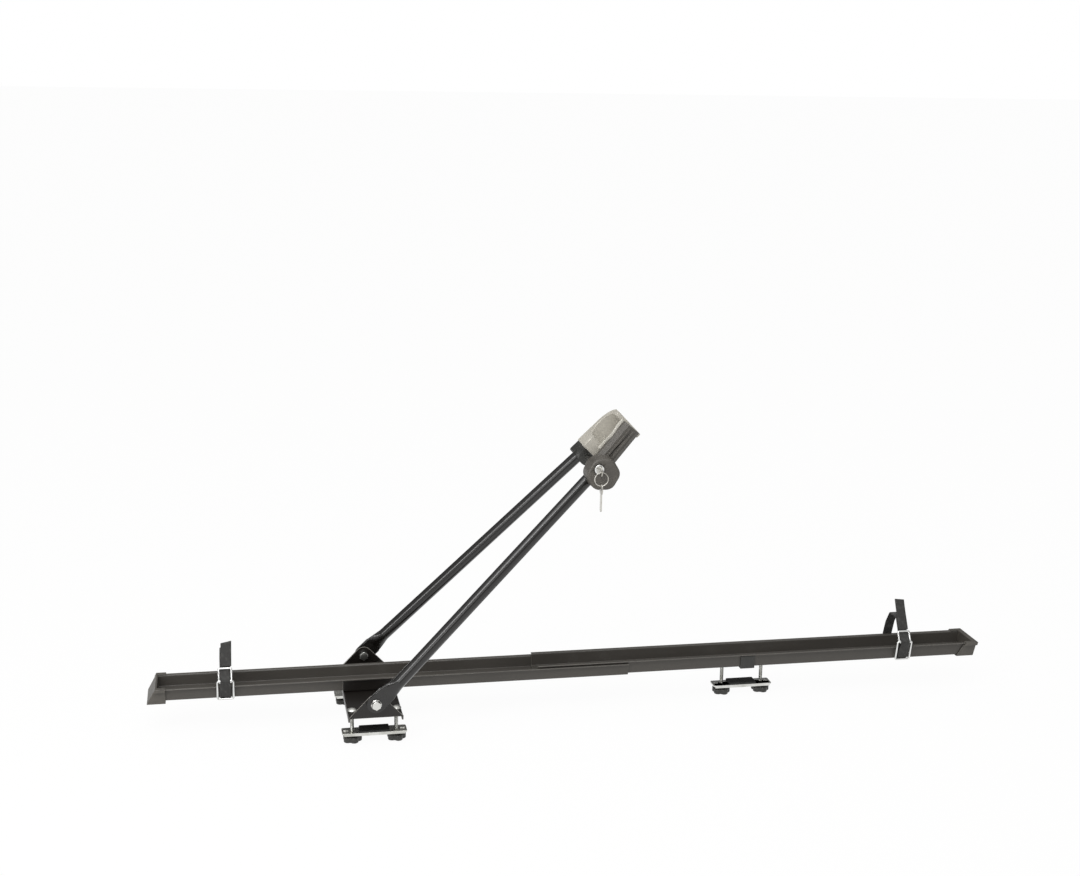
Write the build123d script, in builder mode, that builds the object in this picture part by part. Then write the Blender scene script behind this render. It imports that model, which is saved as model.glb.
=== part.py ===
from build123d import *
from math import asin, cos, hypot, radians, sin
import os

os.makedirs("parts", exist_ok=True)

# Bike carrier for a car roof. X runs along the rail towards the bicycle's rear wheel,
# Z is up, and the two arms stand either side of the rail's centre plane, Y = 0.
# The origin is the centre of the face that rests on the front roof bar.
# All lengths are in millimetres and all angles in degrees.

# Rails: two nested sheet channels with a lip turned outwards along each side
rail_sheet = 1.5
front_rail_width = 60.0
front_rail_height = 20.0
front_rail_length = 748.5
front_rail_back = 421.0
rear_rail_height = 22.0
rear_rail_length = 750.5
rear_rail_front = 271.0
rail_lip = 5.0
bend_radius = 1.0
nest_play = 0.5

# Base plate that carries the front rail and both arms
plate_width = 84.0
plate_sheet = 2.5
near_ear_face = 136.0
far_ear_face = 73.0
ear_slope = 46.0
ear_radius = 14.0
pivot_height = 26.5
flange_drop = 8.0
corner_radius = 3.0
seat_pad_width = 40.0
seat_pad_thickness = 2.5
seat_pad_margin = 4.0
saddle_sheet = 1.5
saddle_play = 0.2
lip_play = 0.4

# Roof bar clamps, each a plate under the bar drawn up by two bolts
bar_height = 26.0
clamp_bolt_spacing = 68.0
near_clamp_offset = 105.0
far_clamp_offset = 50.0
clamp_plate_length = 100.0
clamp_plate_width = 24.0
clamp_plate_sheet = 2.5
clamp_plate_flange = 2.5
clamp_pad_length = 46.0
clamp_pad_thickness = 3.0
clamp_knob_radius = 15.0
clamp_knob_height = 8.5
clamp_knob_hub_radius = 8.0
clamp_knob_hub_height = 5.0
clamp_knob_lobe_radius = 6.5
clamp_knob_lobes = 5
knob_edge_radius = 1.5
clamp_bolt_spare = 2.0
rear_clamp_place = 624.0
rear_saddle_width = 24.0
rear_saddle_wall = 2.5
rear_slot_front = 548.0
rear_slot_length = 200.0

# Arms of round tube, flattened where they turn on the ears
arm_angle = 43.5
arm_length = 489.0
tube_radius = 9.5
tube_wall = 1.5
flat_width = 28.0
flat_thickness = 4.5
flat_length = 22.0
neck_length = 26.0
arm_end_reach = 10.0
near_arm_inset = 57.0
far_arm_inset = 52.0

# Head clamp round the bicycle's down tube
jaw_tilt = 7.0
frame_tube_radius = 22.0
frame_tube_place = 53.5
frame_tube_inset = 32.0
jaw_seat_play = 1.5
jaw_width = 30.0
jaw_length = 83.0
jaw_inner = 52.0
jaw_outer = 66.0
jaw_edge_thickness = 8.0
jaw_crown_width = 17.0
jaw_rib_width = 3.0
jaw_rib_height = 2.4
jaw_rib_spacing = 7.5
jaw_end_radius = 6.0
jaw_foot_radius = 18.0
jaw_foot_inner = 46.5
jaw_foot_outer = 74.0
liner_thickness = 4.5
liner_overhang = 3.5
far_jaw_reach = 40.0
far_jaw_side = 37.0
far_jaw_lower = 22.0
far_jaw_tongue = 8.0
far_jaw_back = 11.0
far_foot_near = 14.0
far_foot_face = 40.0
far_foot_radius = 14.0
far_jaw_round = 2.5
ferrule_width = 29.0
ferrule_before = 12.5
ferrule_after = 14.0
ferrule_outer = 66.0
ferrule_round = 1.5
head_nut_recess = 3.0
head_bolt_depth = 16.0

# Head knob with its lock, and the keys that hang from it
head_knob_radius = 29.5
head_knob_height = 26.0
head_knob_sides = 6
head_knob_corner = 16.5
head_knob_taper = 2.5
head_knob_edge = 4.0
head_knob_play = 0.3
lock_radius = 7.5
lock_length = 12.0
lock_proud = 3.0
lock_offset = 12.0
lock_angle = 130.0
plug_radius = 5.0
plug_proud = 0.6
key_thickness = 2.0
key_bow_radius = 8.5
key_neck_length = 5.0
key_hole_radius = 2.2
key_blade_length = 27.0
key_blade_width = 7.0
ring_radius = 10.5
ring_wire_radius = 0.8
ring_play = 0.4

# Wheel straps with wire buckles
strap_width = 16.5
strap_thickness = 2.0
strap_play = 0.6
front_strap_inset = 104.0
rear_strap_inset = 126.5
strap_top = 79.0
strap_rim_half = 13.0
strap_tyre_half = 25.0
strap_tyre_height = 47.0
strap_tail_rise = 6.0
strap_corner = 8.0
buckle_width = 27.6
buckle_wire_radius = 1.6
buckle_bend_rise = 11.0
buckle_sleeve_radius = 2.9
buckle_corner = 2.2
buckle_lever_width = 22.4

# End caps
cap_wall = 2.5
cap_play = 0.1
front_cap_grip = 12.8
front_cap_foot = 13.5
front_cap_sole = 4.0
rear_cap_grip = 27.5
rear_cap_brow = 6.0
rear_cap_slant = 15.0
rear_cap_sole = 1.6

# Fasteners: M6 for the rails and clamps, M8 for the pivots and the head
m6_radius = 3.0
m6_head_radius = 8.0
m6_head_height = 3.4
m6_nut_flats = 10.0
m6_nut_height = 5.0
m8_radius = 4.0
m8_nut_flats = 13.0
m8_nut_height = 6.5
m8_head_flats = 13.0
m8_head_height = 5.3
m8_flange_radius = 8.2
m8_flange_height = 1.4
thread_play = 0.05
hole_play = 0.3
pivot_play = 0.1
washer_radius = 9.0
washer_thickness = 1.0
swing_play = 0.4
swing_hole_play = 1.6
swing_slot = 1.6
bead_radius = 0.6
bead_margin = 2.0
socket_play = 0.1
bolt_spare = 4.0
rail_bolt_spacing = 62.0
joint_bolt_spacing = 50.0
joint_bolt_back = 21.0
joint_slot_front_spare = 45.0
joint_slot_back_spare = 125.0
overrun = 2.0

# Heights that follow from the stack on the roof bar
plate_bottom = seat_pad_thickness
plate_top = plate_bottom + plate_sheet
front_rail_bottom = plate_top + saddle_sheet
rear_rail_bottom = front_rail_bottom + rail_sheet + nest_play
rear_rail_width = front_rail_width - 2 * (rail_sheet + nest_play)
front_rail_front = front_rail_back - front_rail_length
rear_rail_back = rear_rail_front + rear_rail_length
front_strap_place = front_rail_front + front_strap_inset
rear_strap_place = rear_rail_back - rear_strap_inset
clamp_pad_top = -bar_height
clamp_plate_top = clamp_pad_top - clamp_pad_thickness
clamp_plate_bottom = clamp_plate_top - clamp_plate_sheet
clamp_knob_top = clamp_plate_bottom - pivot_play
clamp_knob_bottom = clamp_knob_top - clamp_knob_hub_height - clamp_knob_height
clamp_bolt_end = clamp_knob_bottom - clamp_bolt_spare

# Directions of the arms and of the head, seen from the near side
arm_run = Vector(cos(radians(arm_angle)), 0, sin(radians(arm_angle)))
arm_cross = Vector(-sin(radians(arm_angle)), 0, cos(radians(arm_angle)))
head_angle = arm_angle + jaw_tilt
head_run = Vector(cos(radians(head_angle)), 0, sin(radians(head_angle)))
head_cross = Vector(-sin(radians(head_angle)), 0, cos(radians(head_angle)))
near_side = Vector(0, -1, 0)
pivot_point = Vector(0, 0, pivot_height)
head_point = pivot_point + arm_run * arm_length
arm_plane = Plane(origin=pivot_point, x_dir=arm_run, z_dir=near_side)
head_plane = Plane(origin=head_point, x_dir=head_run, z_dir=near_side)
cross_plane = Plane(origin=head_point, x_dir=head_run, z_dir=-head_cross)
far_cross_plane = Plane(origin=head_point, x_dir=arm_run, z_dir=-arm_cross)


def keep(piece, name):
    """Labels one finished piece and writes it."""
    piece.part.label = name
    export_step(piece.part, f"parts/{name}.step")


def near(points, reach=0.01):
    """Corners of the open sketch that lie at the given points."""
    return [v for v in vertices() if any(hypot(v.X - x, v.Y - y) < reach for x, y in points)]


def along_x(x, z=0.0):
    """Plane across the rail at x, with Y to the right and Z up."""
    return Plane(origin=(x, 0, z), x_dir=(0, 1, 0), z_dir=(1, 0, 0))


def channel(width, height, sheet, lip):
    """Folded channel section, open upwards, with its underside at zero."""
    half = width / 2
    with Locations((0, height / 2)):
        Rectangle(width, height)
    with Locations((0, sheet + height / 2)):
        Rectangle(width - 2 * sheet, height, mode=Mode.SUBTRACT)
    if lip:
        for side in (-1, 1):
            with Locations((side * (half + lip / 2 - sheet / 2), height - sheet / 2)):
                Rectangle(lip + sheet, sheet)
    fillet(near([(-half, 0), (half, 0)]), bend_radius + sheet)
    fillet(near([(sheet - half, sheet), (half - sheet, sheet)]), bend_radius)
    if lip:
        fillet(near([(sheet - half, height), (half - sheet, height)]), bend_radius + sheet)
        fillet(near([(-half, height - sheet), (half, height - sheet)]), bend_radius)


def dome_bolt(length, head_up):
    """M6 bolt with a domed head whose seat is at the origin."""
    sphere = (m6_head_radius ** 2 + m6_head_height ** 2) / (2 * m6_head_height)
    turn = asin(m6_head_radius / sphere) / 2
    middle = (sphere * sin(turn), m6_head_height - sphere * (1 - cos(turn)))
    with BuildPart() as bolt:
        with BuildSketch(Plane.XZ):
            with BuildLine():
                dome = ThreePointArc((m6_head_radius, 0), middle, (0, m6_head_height))
                Polyline(dome @ 1, (0, -length), (m6_radius, -length), (m6_radius, 0), dome @ 0)
            make_face()
        revolve(axis=Axis.Z)
    return bolt.part if head_up else bolt.part.rotate(Axis.X, 180)


def hex_bolt(length, flange):
    """M8 bolt with a hexagon head on a round flange, seated at the origin, running along -Z."""
    with BuildPart() as bolt:
        with BuildSketch():
            Circle(flange)
        extrude(amount=m8_flange_height)
        with BuildSketch(Plane.XY.offset(m8_flange_height)):
            RegularPolygon(m8_head_flats / 2, 6, major_radius=False)
        extrude(amount=m8_head_height)
        chamfer(bolt.faces().sort_by(Axis.Z)[-1].edges(), m8_flange_height / 2)
        with BuildSketch():
            Circle(m8_radius)
        extrude(amount=-length)
    return bolt.part


def hex_nut(flats, height, bore):
    """Plain nut that stands on the origin."""
    with BuildPart() as nut:
        with BuildSketch():
            RegularPolygon(flats / 2, 6, major_radius=False)
            Circle(bore + thread_play, mode=Mode.SUBTRACT)
        extrude(amount=height)
    return nut.part


# Front rail: holes for its bolts, open at the top along its whole length
with BuildPart() as front_rail:
    with BuildSketch(along_x(front_rail_front, front_rail_bottom)):
        channel(front_rail_width, front_rail_height, rail_sheet, rail_lip)
    extrude(amount=front_rail_length)
    joint_bolt_places = [front_rail_back - joint_bolt_back - step * joint_bolt_spacing for step in (0, 1)]
    rail_bolt_places = [side * rail_bolt_spacing / 2 for side in (-1, 1)]
    with BuildSketch(Plane.XY.offset(front_rail_bottom)):
        with Locations([(x, 0) for x in joint_bolt_places + rail_bolt_places]):
            Circle(m6_radius + hole_play)
    extrude(amount=rail_sheet + overrun, mode=Mode.SUBTRACT)
keep(front_rail, "front_rail")

# Rear rail: slides inside the front one; one slot takes the joint bolts, one the clamp bolts
joint_slot_start = joint_bolt_places[1] - joint_slot_front_spare
joint_slot_end = joint_bolt_places[0] + joint_slot_back_spare
with BuildPart() as rear_rail:
    with BuildSketch(along_x(rear_rail_front, rear_rail_bottom)):
        channel(rear_rail_width, rear_rail_height, rail_sheet, rail_lip)
    extrude(amount=rear_rail_length)
    with BuildSketch(Plane.XY.offset(rear_rail_bottom)):
        with Locations(((joint_slot_start + joint_slot_end) / 2, 0)):
            SlotOverall(joint_slot_end - joint_slot_start, 2 * (m6_radius + hole_play))
        with Locations((rear_slot_front + rear_slot_length / 2, 0)):
            SlotOverall(rear_slot_length, 2 * (m6_radius + hole_play))
    extrude(amount=rail_sheet + overrun, mode=Mode.SUBTRACT)
keep(rear_rail, "rear_rail")


def end_cap(rail_width, rail_height, bottom, end, side, grip, sole, foot, brow, slant):
    """Moulded cap round one end of a rail. side is -1 at the front and 1 at the rear."""
    outer_half = rail_width / 2 + rail_lip + cap_play + cap_wall
    body_half = rail_width / 2 + cap_play + cap_wall
    pocket = rail_width + 2 * cap_play
    low = bottom - cap_play - sole
    high = bottom + rail_height + cap_play + cap_wall / 2
    lip_low = bottom + rail_height - rail_sheet - cap_play - cap_wall
    face = end + side * cap_wall
    mouth = end - side * grip
    start = min(end, mouth - side * overrun)
    with BuildPart() as cap:
        with BuildSketch(Plane.XZ.offset(-outer_half)):
            with BuildLine():
                Polyline((face + side * foot, low), (face + side * brow, high),
                         (mouth + side * slant, high), (mouth, low), close=True)
            make_face()
        extrude(amount=2 * outer_half)
        for lean in (-1, 1):
            with BuildSketch(along_x(end - 2 * grip, low - overrun)):
                with Locations((lean * (body_half + outer_half) / 2, (lip_low - low) / 2)):
                    Rectangle(outer_half - body_half, lip_low - low + 2 * overrun)
            extrude(amount=4 * grip, mode=Mode.SUBTRACT)
        with BuildSketch(along_x(start, bottom - cap_play)):
            with Locations((0, rail_height / 2 + cap_play)):
                Rectangle(pocket, rail_height + 2 * cap_play)
            with Locations((0, rail_height - bend_radius - rail_sheet + cap_play)):
                Rectangle(pocket + 2 * bend_radius, 2 * bend_radius)
            with Locations((0, rail_height - rail_sheet / 2 + cap_play)):
                Rectangle(pocket + 2 * rail_lip, rail_sheet + 2 * cap_play)
            with Locations((0, rail_height + cap_wall)):
                Rectangle(pocket - 2 * rail_sheet, 2 * cap_wall)
        extrude(amount=grip + overrun, mode=Mode.SUBTRACT)
        rim = cap.edges().filter_by(Axis.X).group_by(Axis.Z)
        fillet(rim[0], cap_wall / 2)
    return cap


front_end_cap = end_cap(front_rail_width, front_rail_height, front_rail_bottom, front_rail_front, -1,
                        front_cap_grip, front_cap_sole, front_cap_foot, 0, 0)
keep(front_end_cap, "front_end_cap")
rear_end_cap = end_cap(rear_rail_width, rear_rail_height, rear_rail_bottom, rear_rail_back, 1,
                       rear_cap_grip, rear_cap_sole, 0, rear_cap_brow, rear_cap_slant)
keep(rear_end_cap, "rear_end_cap")

# Base plate: side flanges turned down, an ear for an arm folded up at each end
clamp_bolt_sides = [side * clamp_bolt_spacing / 2 for side in (-1, 1)]
plate_middle = (far_ear_face - near_ear_face) / 2
plate_length = far_ear_face + near_ear_face
ear_top = pivot_height + ear_radius
with BuildPart() as base_plate:
    with BuildSketch(Plane.XZ.offset(near_ear_face)):
        half = plate_width / 2
        inner = half - plate_sheet
        with Locations((0, plate_top - flange_drop / 2)):
            Rectangle(plate_width, flange_drop)
        with Locations((0, plate_bottom - flange_drop / 2)):
            Rectangle(2 * inner, flange_drop, mode=Mode.SUBTRACT)
        fillet(near([(-half, plate_top), (half, plate_top)]), bend_radius + plate_sheet)
        fillet(near([(-inner, plate_bottom), (inner, plate_bottom)]), bend_radius)
    extrude(amount=-plate_length)
    for face, way in ((-near_ear_face, -1), (far_ear_face, 1)):
        slope = radians(ear_slope)
        shoulder = (ear_radius * sin(slope), pivot_height + ear_radius * cos(slope))
        foot = shoulder[0] + (shoulder[1] - plate_bottom) * cos(slope) / sin(slope)
        wide = plate_width / 2
        wing = plate_bottom + max(0, foot - wide) * sin(slope) / cos(slope)
        with BuildSketch(Plane.XZ.offset(-face)):
            with BuildLine():
                top = ThreePointArc((-shoulder[0], shoulder[1]), (0, ear_top), shoulder)
                Polyline(top @ 1, (wide, wing), (wide, plate_bottom), (-wide, plate_bottom),
                         (-wide, wing), top @ 0)
            make_face()
        extrude(amount=way * plate_sheet)
        with BuildSketch(Plane.XZ.offset(-face)):
            with Locations((0, pivot_height)):
                Circle(m8_radius + thread_play)
        extrude(amount=way * (plate_sheet + overrun), both=True, mode=Mode.SUBTRACT)
    with BuildSketch(Plane.XY.offset(plate_bottom)):
        for place in (-near_clamp_offset, far_clamp_offset):
            with Locations([(x, place) for x in clamp_bolt_sides]):
                Circle(m6_radius + thread_play)
        with Locations([(x, 0) for x in rail_bolt_places]):
            Circle(m6_radius + thread_play)
    extrude(amount=plate_sheet + overrun, mode=Mode.SUBTRACT)
keep(base_plate, "base_plate")

# Rubber pad between the plate and the roof bar
with BuildPart() as front_bar_pad:
    with BuildSketch():
        with Locations((0, plate_middle)):
            RectangleRounded(seat_pad_width, plate_length - 2 * (plate_sheet + seat_pad_margin),
                             corner_radius)
    extrude(amount=seat_pad_thickness)
keep(front_bar_pad, "front_bar_pad")

# Folded saddle that stands either side of the front rail
saddle_height = front_rail_height - rail_sheet - lip_play - bend_radius
with BuildPart() as front_saddle:
    with BuildSketch(along_x(-plate_width / 2, plate_top)):
        channel(front_rail_width + 2 * (saddle_sheet + saddle_play), saddle_height + saddle_sheet,
                saddle_sheet, 0)
    extrude(amount=plate_width)
    with BuildSketch(Plane.XY.offset(plate_top)):
        with Locations([(x, 0) for x in rail_bolt_places]):
            Circle(m6_radius + thread_play)
    extrude(amount=saddle_sheet + overrun, mode=Mode.SUBTRACT)
keep(front_saddle, "front_saddle")


def group(piece, places, name, angle=0):
    """Writes copies of one piece, at the given places, as one node."""
    with BuildPart() as copies:
        with Locations([Location(place, (0, 0, angle)) for place in places]):
            add(piece)
    keep(copies, name)


# Bolts through the front rail, the saddle and the base plate, with their nuts
rail_bolt_length = front_rail_bottom + rail_sheet - plate_bottom + m6_nut_height + bolt_spare / 4
rail_bolt = dome_bolt(rail_bolt_length, True)
group(rail_bolt, [(x, 0, front_rail_bottom + rail_sheet) for x in rail_bolt_places], "rail_bolts")
m6_nut = hex_nut(m6_nut_flats, m6_nut_height, m6_radius)
group(m6_nut, [(x, 0, plate_bottom - m6_nut_height) for x in rail_bolt_places], "rail_nuts")

# Bolts that lock the two rails together
joint_seat = rear_rail_bottom + rail_sheet
joint_nut_seat = front_rail_bottom - m6_nut_height
joint_bolt_length = joint_seat + thread_play - joint_nut_seat + bolt_spare / 4
joint_bolt = dome_bolt(joint_bolt_length, True)
group(joint_bolt, [(x, 0, joint_seat + thread_play) for x in joint_bolt_places], "joint_bolts")
group(m6_nut, [(x, 0, joint_nut_seat) for x in joint_bolt_places], "joint_nuts")


def clamp_plate(middle):
    """Pressed clamp plate under the roof bar: long edges turned down, a rib across each end."""
    with BuildPart() as plate:
        with BuildSketch(Plane.XY.offset(clamp_plate_bottom)):
            with Locations((middle.X, middle.Y)):
                RectangleRounded(clamp_plate_length, clamp_plate_width, corner_radius)
            with Locations([(middle.X + x, middle.Y) for x in clamp_bolt_sides]):
                Circle(m6_radius + hole_play, mode=Mode.SUBTRACT)
        extrude(amount=clamp_plate_sheet)
        with BuildSketch(Plane.XY.offset(clamp_plate_top)):
            with Locations((middle.X, middle.Y)):
                Rectangle(clamp_plate_length - 2 * corner_radius, clamp_plate_sheet)
                Rectangle(clamp_bolt_spacing + 4 * m6_radius, clamp_plate_sheet + overrun,
                          mode=Mode.SUBTRACT)
        extrude(amount=clamp_plate_sheet / 2)
        with BuildSketch(Plane.XY.offset(clamp_plate_bottom)):
            for side in (-1, 1):
                with Locations((middle.X, middle.Y + side * (clamp_plate_width - clamp_plate_sheet) / 2)):
                    Rectangle(clamp_plate_length - 2 * corner_radius, clamp_plate_sheet)
        extrude(amount=-clamp_plate_flange)
    return plate


def clamp_pad(middle):
    """Rubber pad on a clamp plate."""
    with BuildPart() as pad:
        with BuildSketch(Plane.XY.offset(clamp_plate_top)):
            with Locations((middle.X, middle.Y)):
                RectangleRounded(clamp_pad_length, clamp_plate_width, corner_radius / 2)
        extrude(amount=clamp_pad_thickness)
        fillet(pad.faces().sort_by(Axis.Z)[-1].edges(), corner_radius / 4)
    return pad


def clamp_knob(place):
    """Five-lobed hand knob with a round hub; a bolt runs right through it."""
    lobe_reach = clamp_knob_radius - clamp_knob_lobe_radius
    with BuildPart() as knob:
        with BuildSketch(Plane.XY.offset(clamp_knob_bottom)):
            with Locations((place.X, place.Y)):
                Circle(lobe_reach + clamp_knob_lobe_radius / 3)
                with PolarLocations(lobe_reach, clamp_knob_lobes):
                    Circle(clamp_knob_lobe_radius)
            fillet(vertices(), clamp_knob_lobe_radius / 3)
        extrude(amount=clamp_knob_height)
        fillet(knob.faces().filter_by(Axis.Z).edges(), knob_edge_radius)
        with BuildSketch(Plane.XY.offset(clamp_knob_bottom + clamp_knob_height - knob_edge_radius)):
            with Locations((place.X, place.Y)):
                Circle(clamp_knob_hub_radius)
        extrude(amount=clamp_knob_hub_height + knob_edge_radius)
        with BuildSketch(Plane.XY.offset(clamp_knob_bottom)):
            with Locations((place.X, place.Y)):
                Circle(m6_radius + thread_play)
        extrude(amount=clamp_knob_height + clamp_knob_hub_height, mode=Mode.SUBTRACT)
    return knob


# Three clamps: two under the base plate, one under the rear rail
clamp_middles = {
    "near": (Vector(0, -near_clamp_offset, 0), plate_top),
    "far": (Vector(0, far_clamp_offset, 0), plate_top),
    "rear": (Vector(rear_clamp_place, 0, 0), rear_rail_bottom + rail_sheet + thread_play),
}
for clamp, (middle, seat) in clamp_middles.items():
    bolt_places = [middle + Vector(x, 0, seat) for x in clamp_bolt_sides]
    group(dome_bolt(seat - clamp_bolt_end, True), bolt_places, f"{clamp}_clamp_bolts")
    keep(clamp_plate(middle), f"{clamp}_clamp_plate")
    keep(clamp_pad(middle), f"{clamp}_clamp_pad")
    for place, end in zip(clamp_bolt_sides, ("front", "back")):
        keep(clamp_knob(middle + Vector(place, 0, 0)), f"{clamp}_clamp_knob_{end}")

# Saddle between the rear rail and the rear roof bar, with a tab up each side of the rail
rear_saddle_top = rear_rail_bottom + rear_rail_height - rail_sheet - bend_radius - lip_play
with BuildPart() as rear_saddle:
    with BuildSketch(along_x(rear_clamp_place - rear_saddle_width / 2)):
        half = rear_rail_width / 2 + saddle_play
        rear_seat = rear_rail_bottom - rear_saddle_wall
        with Locations((0, (rear_saddle_top + rear_seat) / 2)):
            Rectangle(2 * (half + rear_saddle_wall), rear_saddle_top - rear_seat)
        with Locations((0, rear_rail_bottom + rear_saddle_top / 2)):
            Rectangle(2 * half, rear_saddle_top, mode=Mode.SUBTRACT)
        low = near([(half + rear_saddle_wall, rear_seat), (-half - rear_saddle_wall, rear_seat)])
        fillet(low, bend_radius)
    extrude(amount=rear_saddle_width)
    fillet(rear_saddle.edges().filter_by(Axis.Y).group_by(Axis.Z)[-1], rear_saddle_wall / 4)
keep(rear_saddle, "rear_saddle")


def arm_tube(inset, lean, pivot_hole):
    """Arm tube on one side of the rail: lean is -1 for the near arm and 1 for the far one.
    The near arm rocks on a half-round bead across its flat end as the jaws open and close."""
    start_y = lean * (inset[0])
    end_y = lean * inset[1]
    low = pivot_point + arm_run * (flat_length + neck_length) + Vector(0, start_y, 0)
    high = head_point + arm_run * arm_end_reach + Vector(0, end_y, 0)
    along = (high - low).normalized()
    flat_plane = Plane(origin=pivot_point + Vector(0, start_y, 0), x_dir=arm_run, z_dir=near_side)
    neck_plane = Plane(origin=flat_plane.origin + arm_run * flat_length, x_dir=Vector(0, 1, 0),
                       z_dir=arm_run)
    round_plane = Plane(origin=low, x_dir=Vector(0, 1, 0) - along * along.Y, z_dir=along)
    with BuildPart() as arm:
        with BuildSketch(flat_plane.offset(-flat_thickness / 2)):
            Circle(flat_width / 2)
            with Locations((flat_length / 2, 0)):
                Rectangle(flat_length, flat_width)
        extrude(amount=flat_thickness)
        with BuildSketch(neck_plane) as flat_end:
            Rectangle(flat_thickness, flat_width)
            fillet(flat_end.vertices(), flat_thickness / 2 - thread_play)
        with BuildSketch(round_plane):
            Circle(tube_radius)
        loft()
        with BuildSketch(round_plane):
            Circle(tube_radius)
        extrude(amount=(high - low).length)
        with BuildSketch(round_plane):
            Circle(tube_radius - tube_wall)
        extrude(amount=(high - low).length, mode=Mode.SUBTRACT)
        if lean < 0:
            bead_origin = flat_plane.offset(-flat_thickness / 2).origin
            with BuildSketch(Plane(origin=bead_origin, x_dir=arm_run, z_dir=arm_cross)):
                Circle(bead_radius)
            extrude(amount=flat_width / 2 - bead_margin, both=True)
        with BuildSketch(flat_plane.offset(-flat_thickness)):
            Circle(m8_radius + pivot_hole)
        extrude(amount=2 * flat_thickness, mode=Mode.SUBTRACT)
        with BuildSketch(Plane(origin=head_point, x_dir=arm_run, z_dir=near_side)):
            if lean < 0:
                SlotCenterToCenter(swing_slot, 2 * (m8_radius + swing_hole_play))
            else:
                Circle(m8_radius + hole_play)
        extrude(amount=-lean * (inset[1] + 2 * tube_radius), mode=Mode.SUBTRACT)
    return arm


# Both arms stand outside their ears, with a washer between
near_arm_place = near_ear_face + washer_thickness + 2 * swing_play + flat_thickness / 2
far_arm_place = far_ear_face + washer_thickness + 2 * pivot_play + flat_thickness / 2
near_arm = arm_tube((near_arm_place, near_arm_inset), -1, hole_play)
keep(near_arm, "near_arm")
far_arm = arm_tube((far_arm_place, far_arm_inset), 1, pivot_play)
keep(far_arm, "far_arm")

# Pivot hardware: the near bolt's head is outside its arm, the far bolt's head inside its ear
near_bolt_seat = near_arm_place + flat_thickness / 2 + swing_play
near_grip = near_bolt_seat - near_ear_face + plate_sheet
near_turn = Location(Plane(origin=(0, -near_bolt_seat, pivot_height), z_dir=near_side))
far_grip = far_arm_place + flat_thickness / 2 + pivot_play - far_ear_face + plate_sheet
far_turn = Location(Plane(origin=(0, far_ear_face - plate_sheet, pivot_height), z_dir=near_side))
near_nut_turn = Location(Plane(origin=(0, plate_sheet - near_ear_face, pivot_height), z_dir=-near_side))
far_nut_turn = Location(Plane(origin=(0, far_ear_face - plate_sheet + far_grip, pivot_height),
                              z_dir=-near_side))
with BuildPart() as pivot_bolts:
    for turn, grip, flange in ((near_turn, near_grip, m8_flange_radius),
                               (far_turn, far_grip, m8_head_flats / 2)):
        with Locations(turn):
            add(hex_bolt(grip + m8_nut_height + bolt_spare / 2, flange))
keep(pivot_bolts, "pivot_bolts")
m8_nut = hex_nut(m8_nut_flats, m8_nut_height, m8_radius)
with BuildPart() as pivot_nuts:
    with Locations(near_nut_turn, far_nut_turn):
        add(m8_nut)
keep(pivot_nuts, "pivot_nuts")
with BuildPart() as pivot_washers:
    for gap_start in (near_ear_face + pivot_play, -far_ear_face - pivot_play - washer_thickness):
        with BuildSketch(Plane.XZ.offset(gap_start)):
            with Locations((0, pivot_height)):
                Circle(washer_radius)
                Circle(m8_radius + thread_play, mode=Mode.SUBTRACT)
        extrude(amount=washer_thickness)
keep(pivot_washers, "pivot_washers")


def arm_socket(inset, start_inset, lean):
    """Bore for an arm's upper end, with play all round."""
    low = pivot_point + arm_run * (flat_length + neck_length) + Vector(0, lean * start_inset, 0)
    high = head_point + arm_run * arm_end_reach + Vector(0, lean * inset, 0)
    along = (high - low).normalized()
    with BuildPart() as bore:
        with BuildSketch(Plane(origin=low, z_dir=along)):
            Circle(tube_radius + socket_play)
        extrude(amount=(high - low).length + socket_play)
    return bore.part


# Near jaw: ribbed moulding on the near arm's end, hollowed for the bicycle's frame tube
blade_plane = Plane(origin=head_point, x_dir=head_cross, z_dir=head_run)
seat_radius = frame_tube_radius + jaw_seat_play
half_jaw = jaw_width / 2
swing_bore = m8_radius + swing_hole_play
with BuildPart() as near_jaw:
    with BuildSketch(blade_plane):
        with BuildLine():
            edge = jaw_inner + jaw_edge_thickness
            Polyline((-half_jaw, jaw_inner), (half_jaw, jaw_inner), (half_jaw, edge),
                     (jaw_crown_width / 2, jaw_outer), (-jaw_crown_width / 2, jaw_outer),
                     (-half_jaw, edge), close=True)
        make_face()
    extrude(amount=jaw_length)
    with BuildSketch(blade_plane.offset(jaw_foot_radius)):
        for side in (-1, 1):
            with Locations((side * jaw_rib_spacing / 2, jaw_outer)):
                Rectangle(jaw_rib_width, 2 * jaw_rib_height)
    extrude(amount=jaw_length - jaw_foot_radius - jaw_end_radius / 2)
    with BuildSketch(head_plane.offset(jaw_foot_inner)):
        Circle(jaw_foot_radius)
    extrude(amount=jaw_foot_outer - jaw_foot_inner)
    with BuildSketch(cross_plane.offset(-2 * jaw_width)):
        with Locations((frame_tube_place, frame_tube_inset)):
            Circle(seat_radius)
    extrude(amount=4 * jaw_width, mode=Mode.SUBTRACT)
    add(arm_socket(near_arm_inset, near_arm_place, -1), mode=Mode.SUBTRACT)
    with BuildSketch(Plane(origin=head_point, x_dir=arm_run, z_dir=near_side)):
        SlotCenterToCenter(swing_slot, 2 * swing_bore)
    extrude(amount=jaw_foot_outer + overrun, mode=Mode.SUBTRACT)
keep(near_jaw, "near_jaw")

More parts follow.
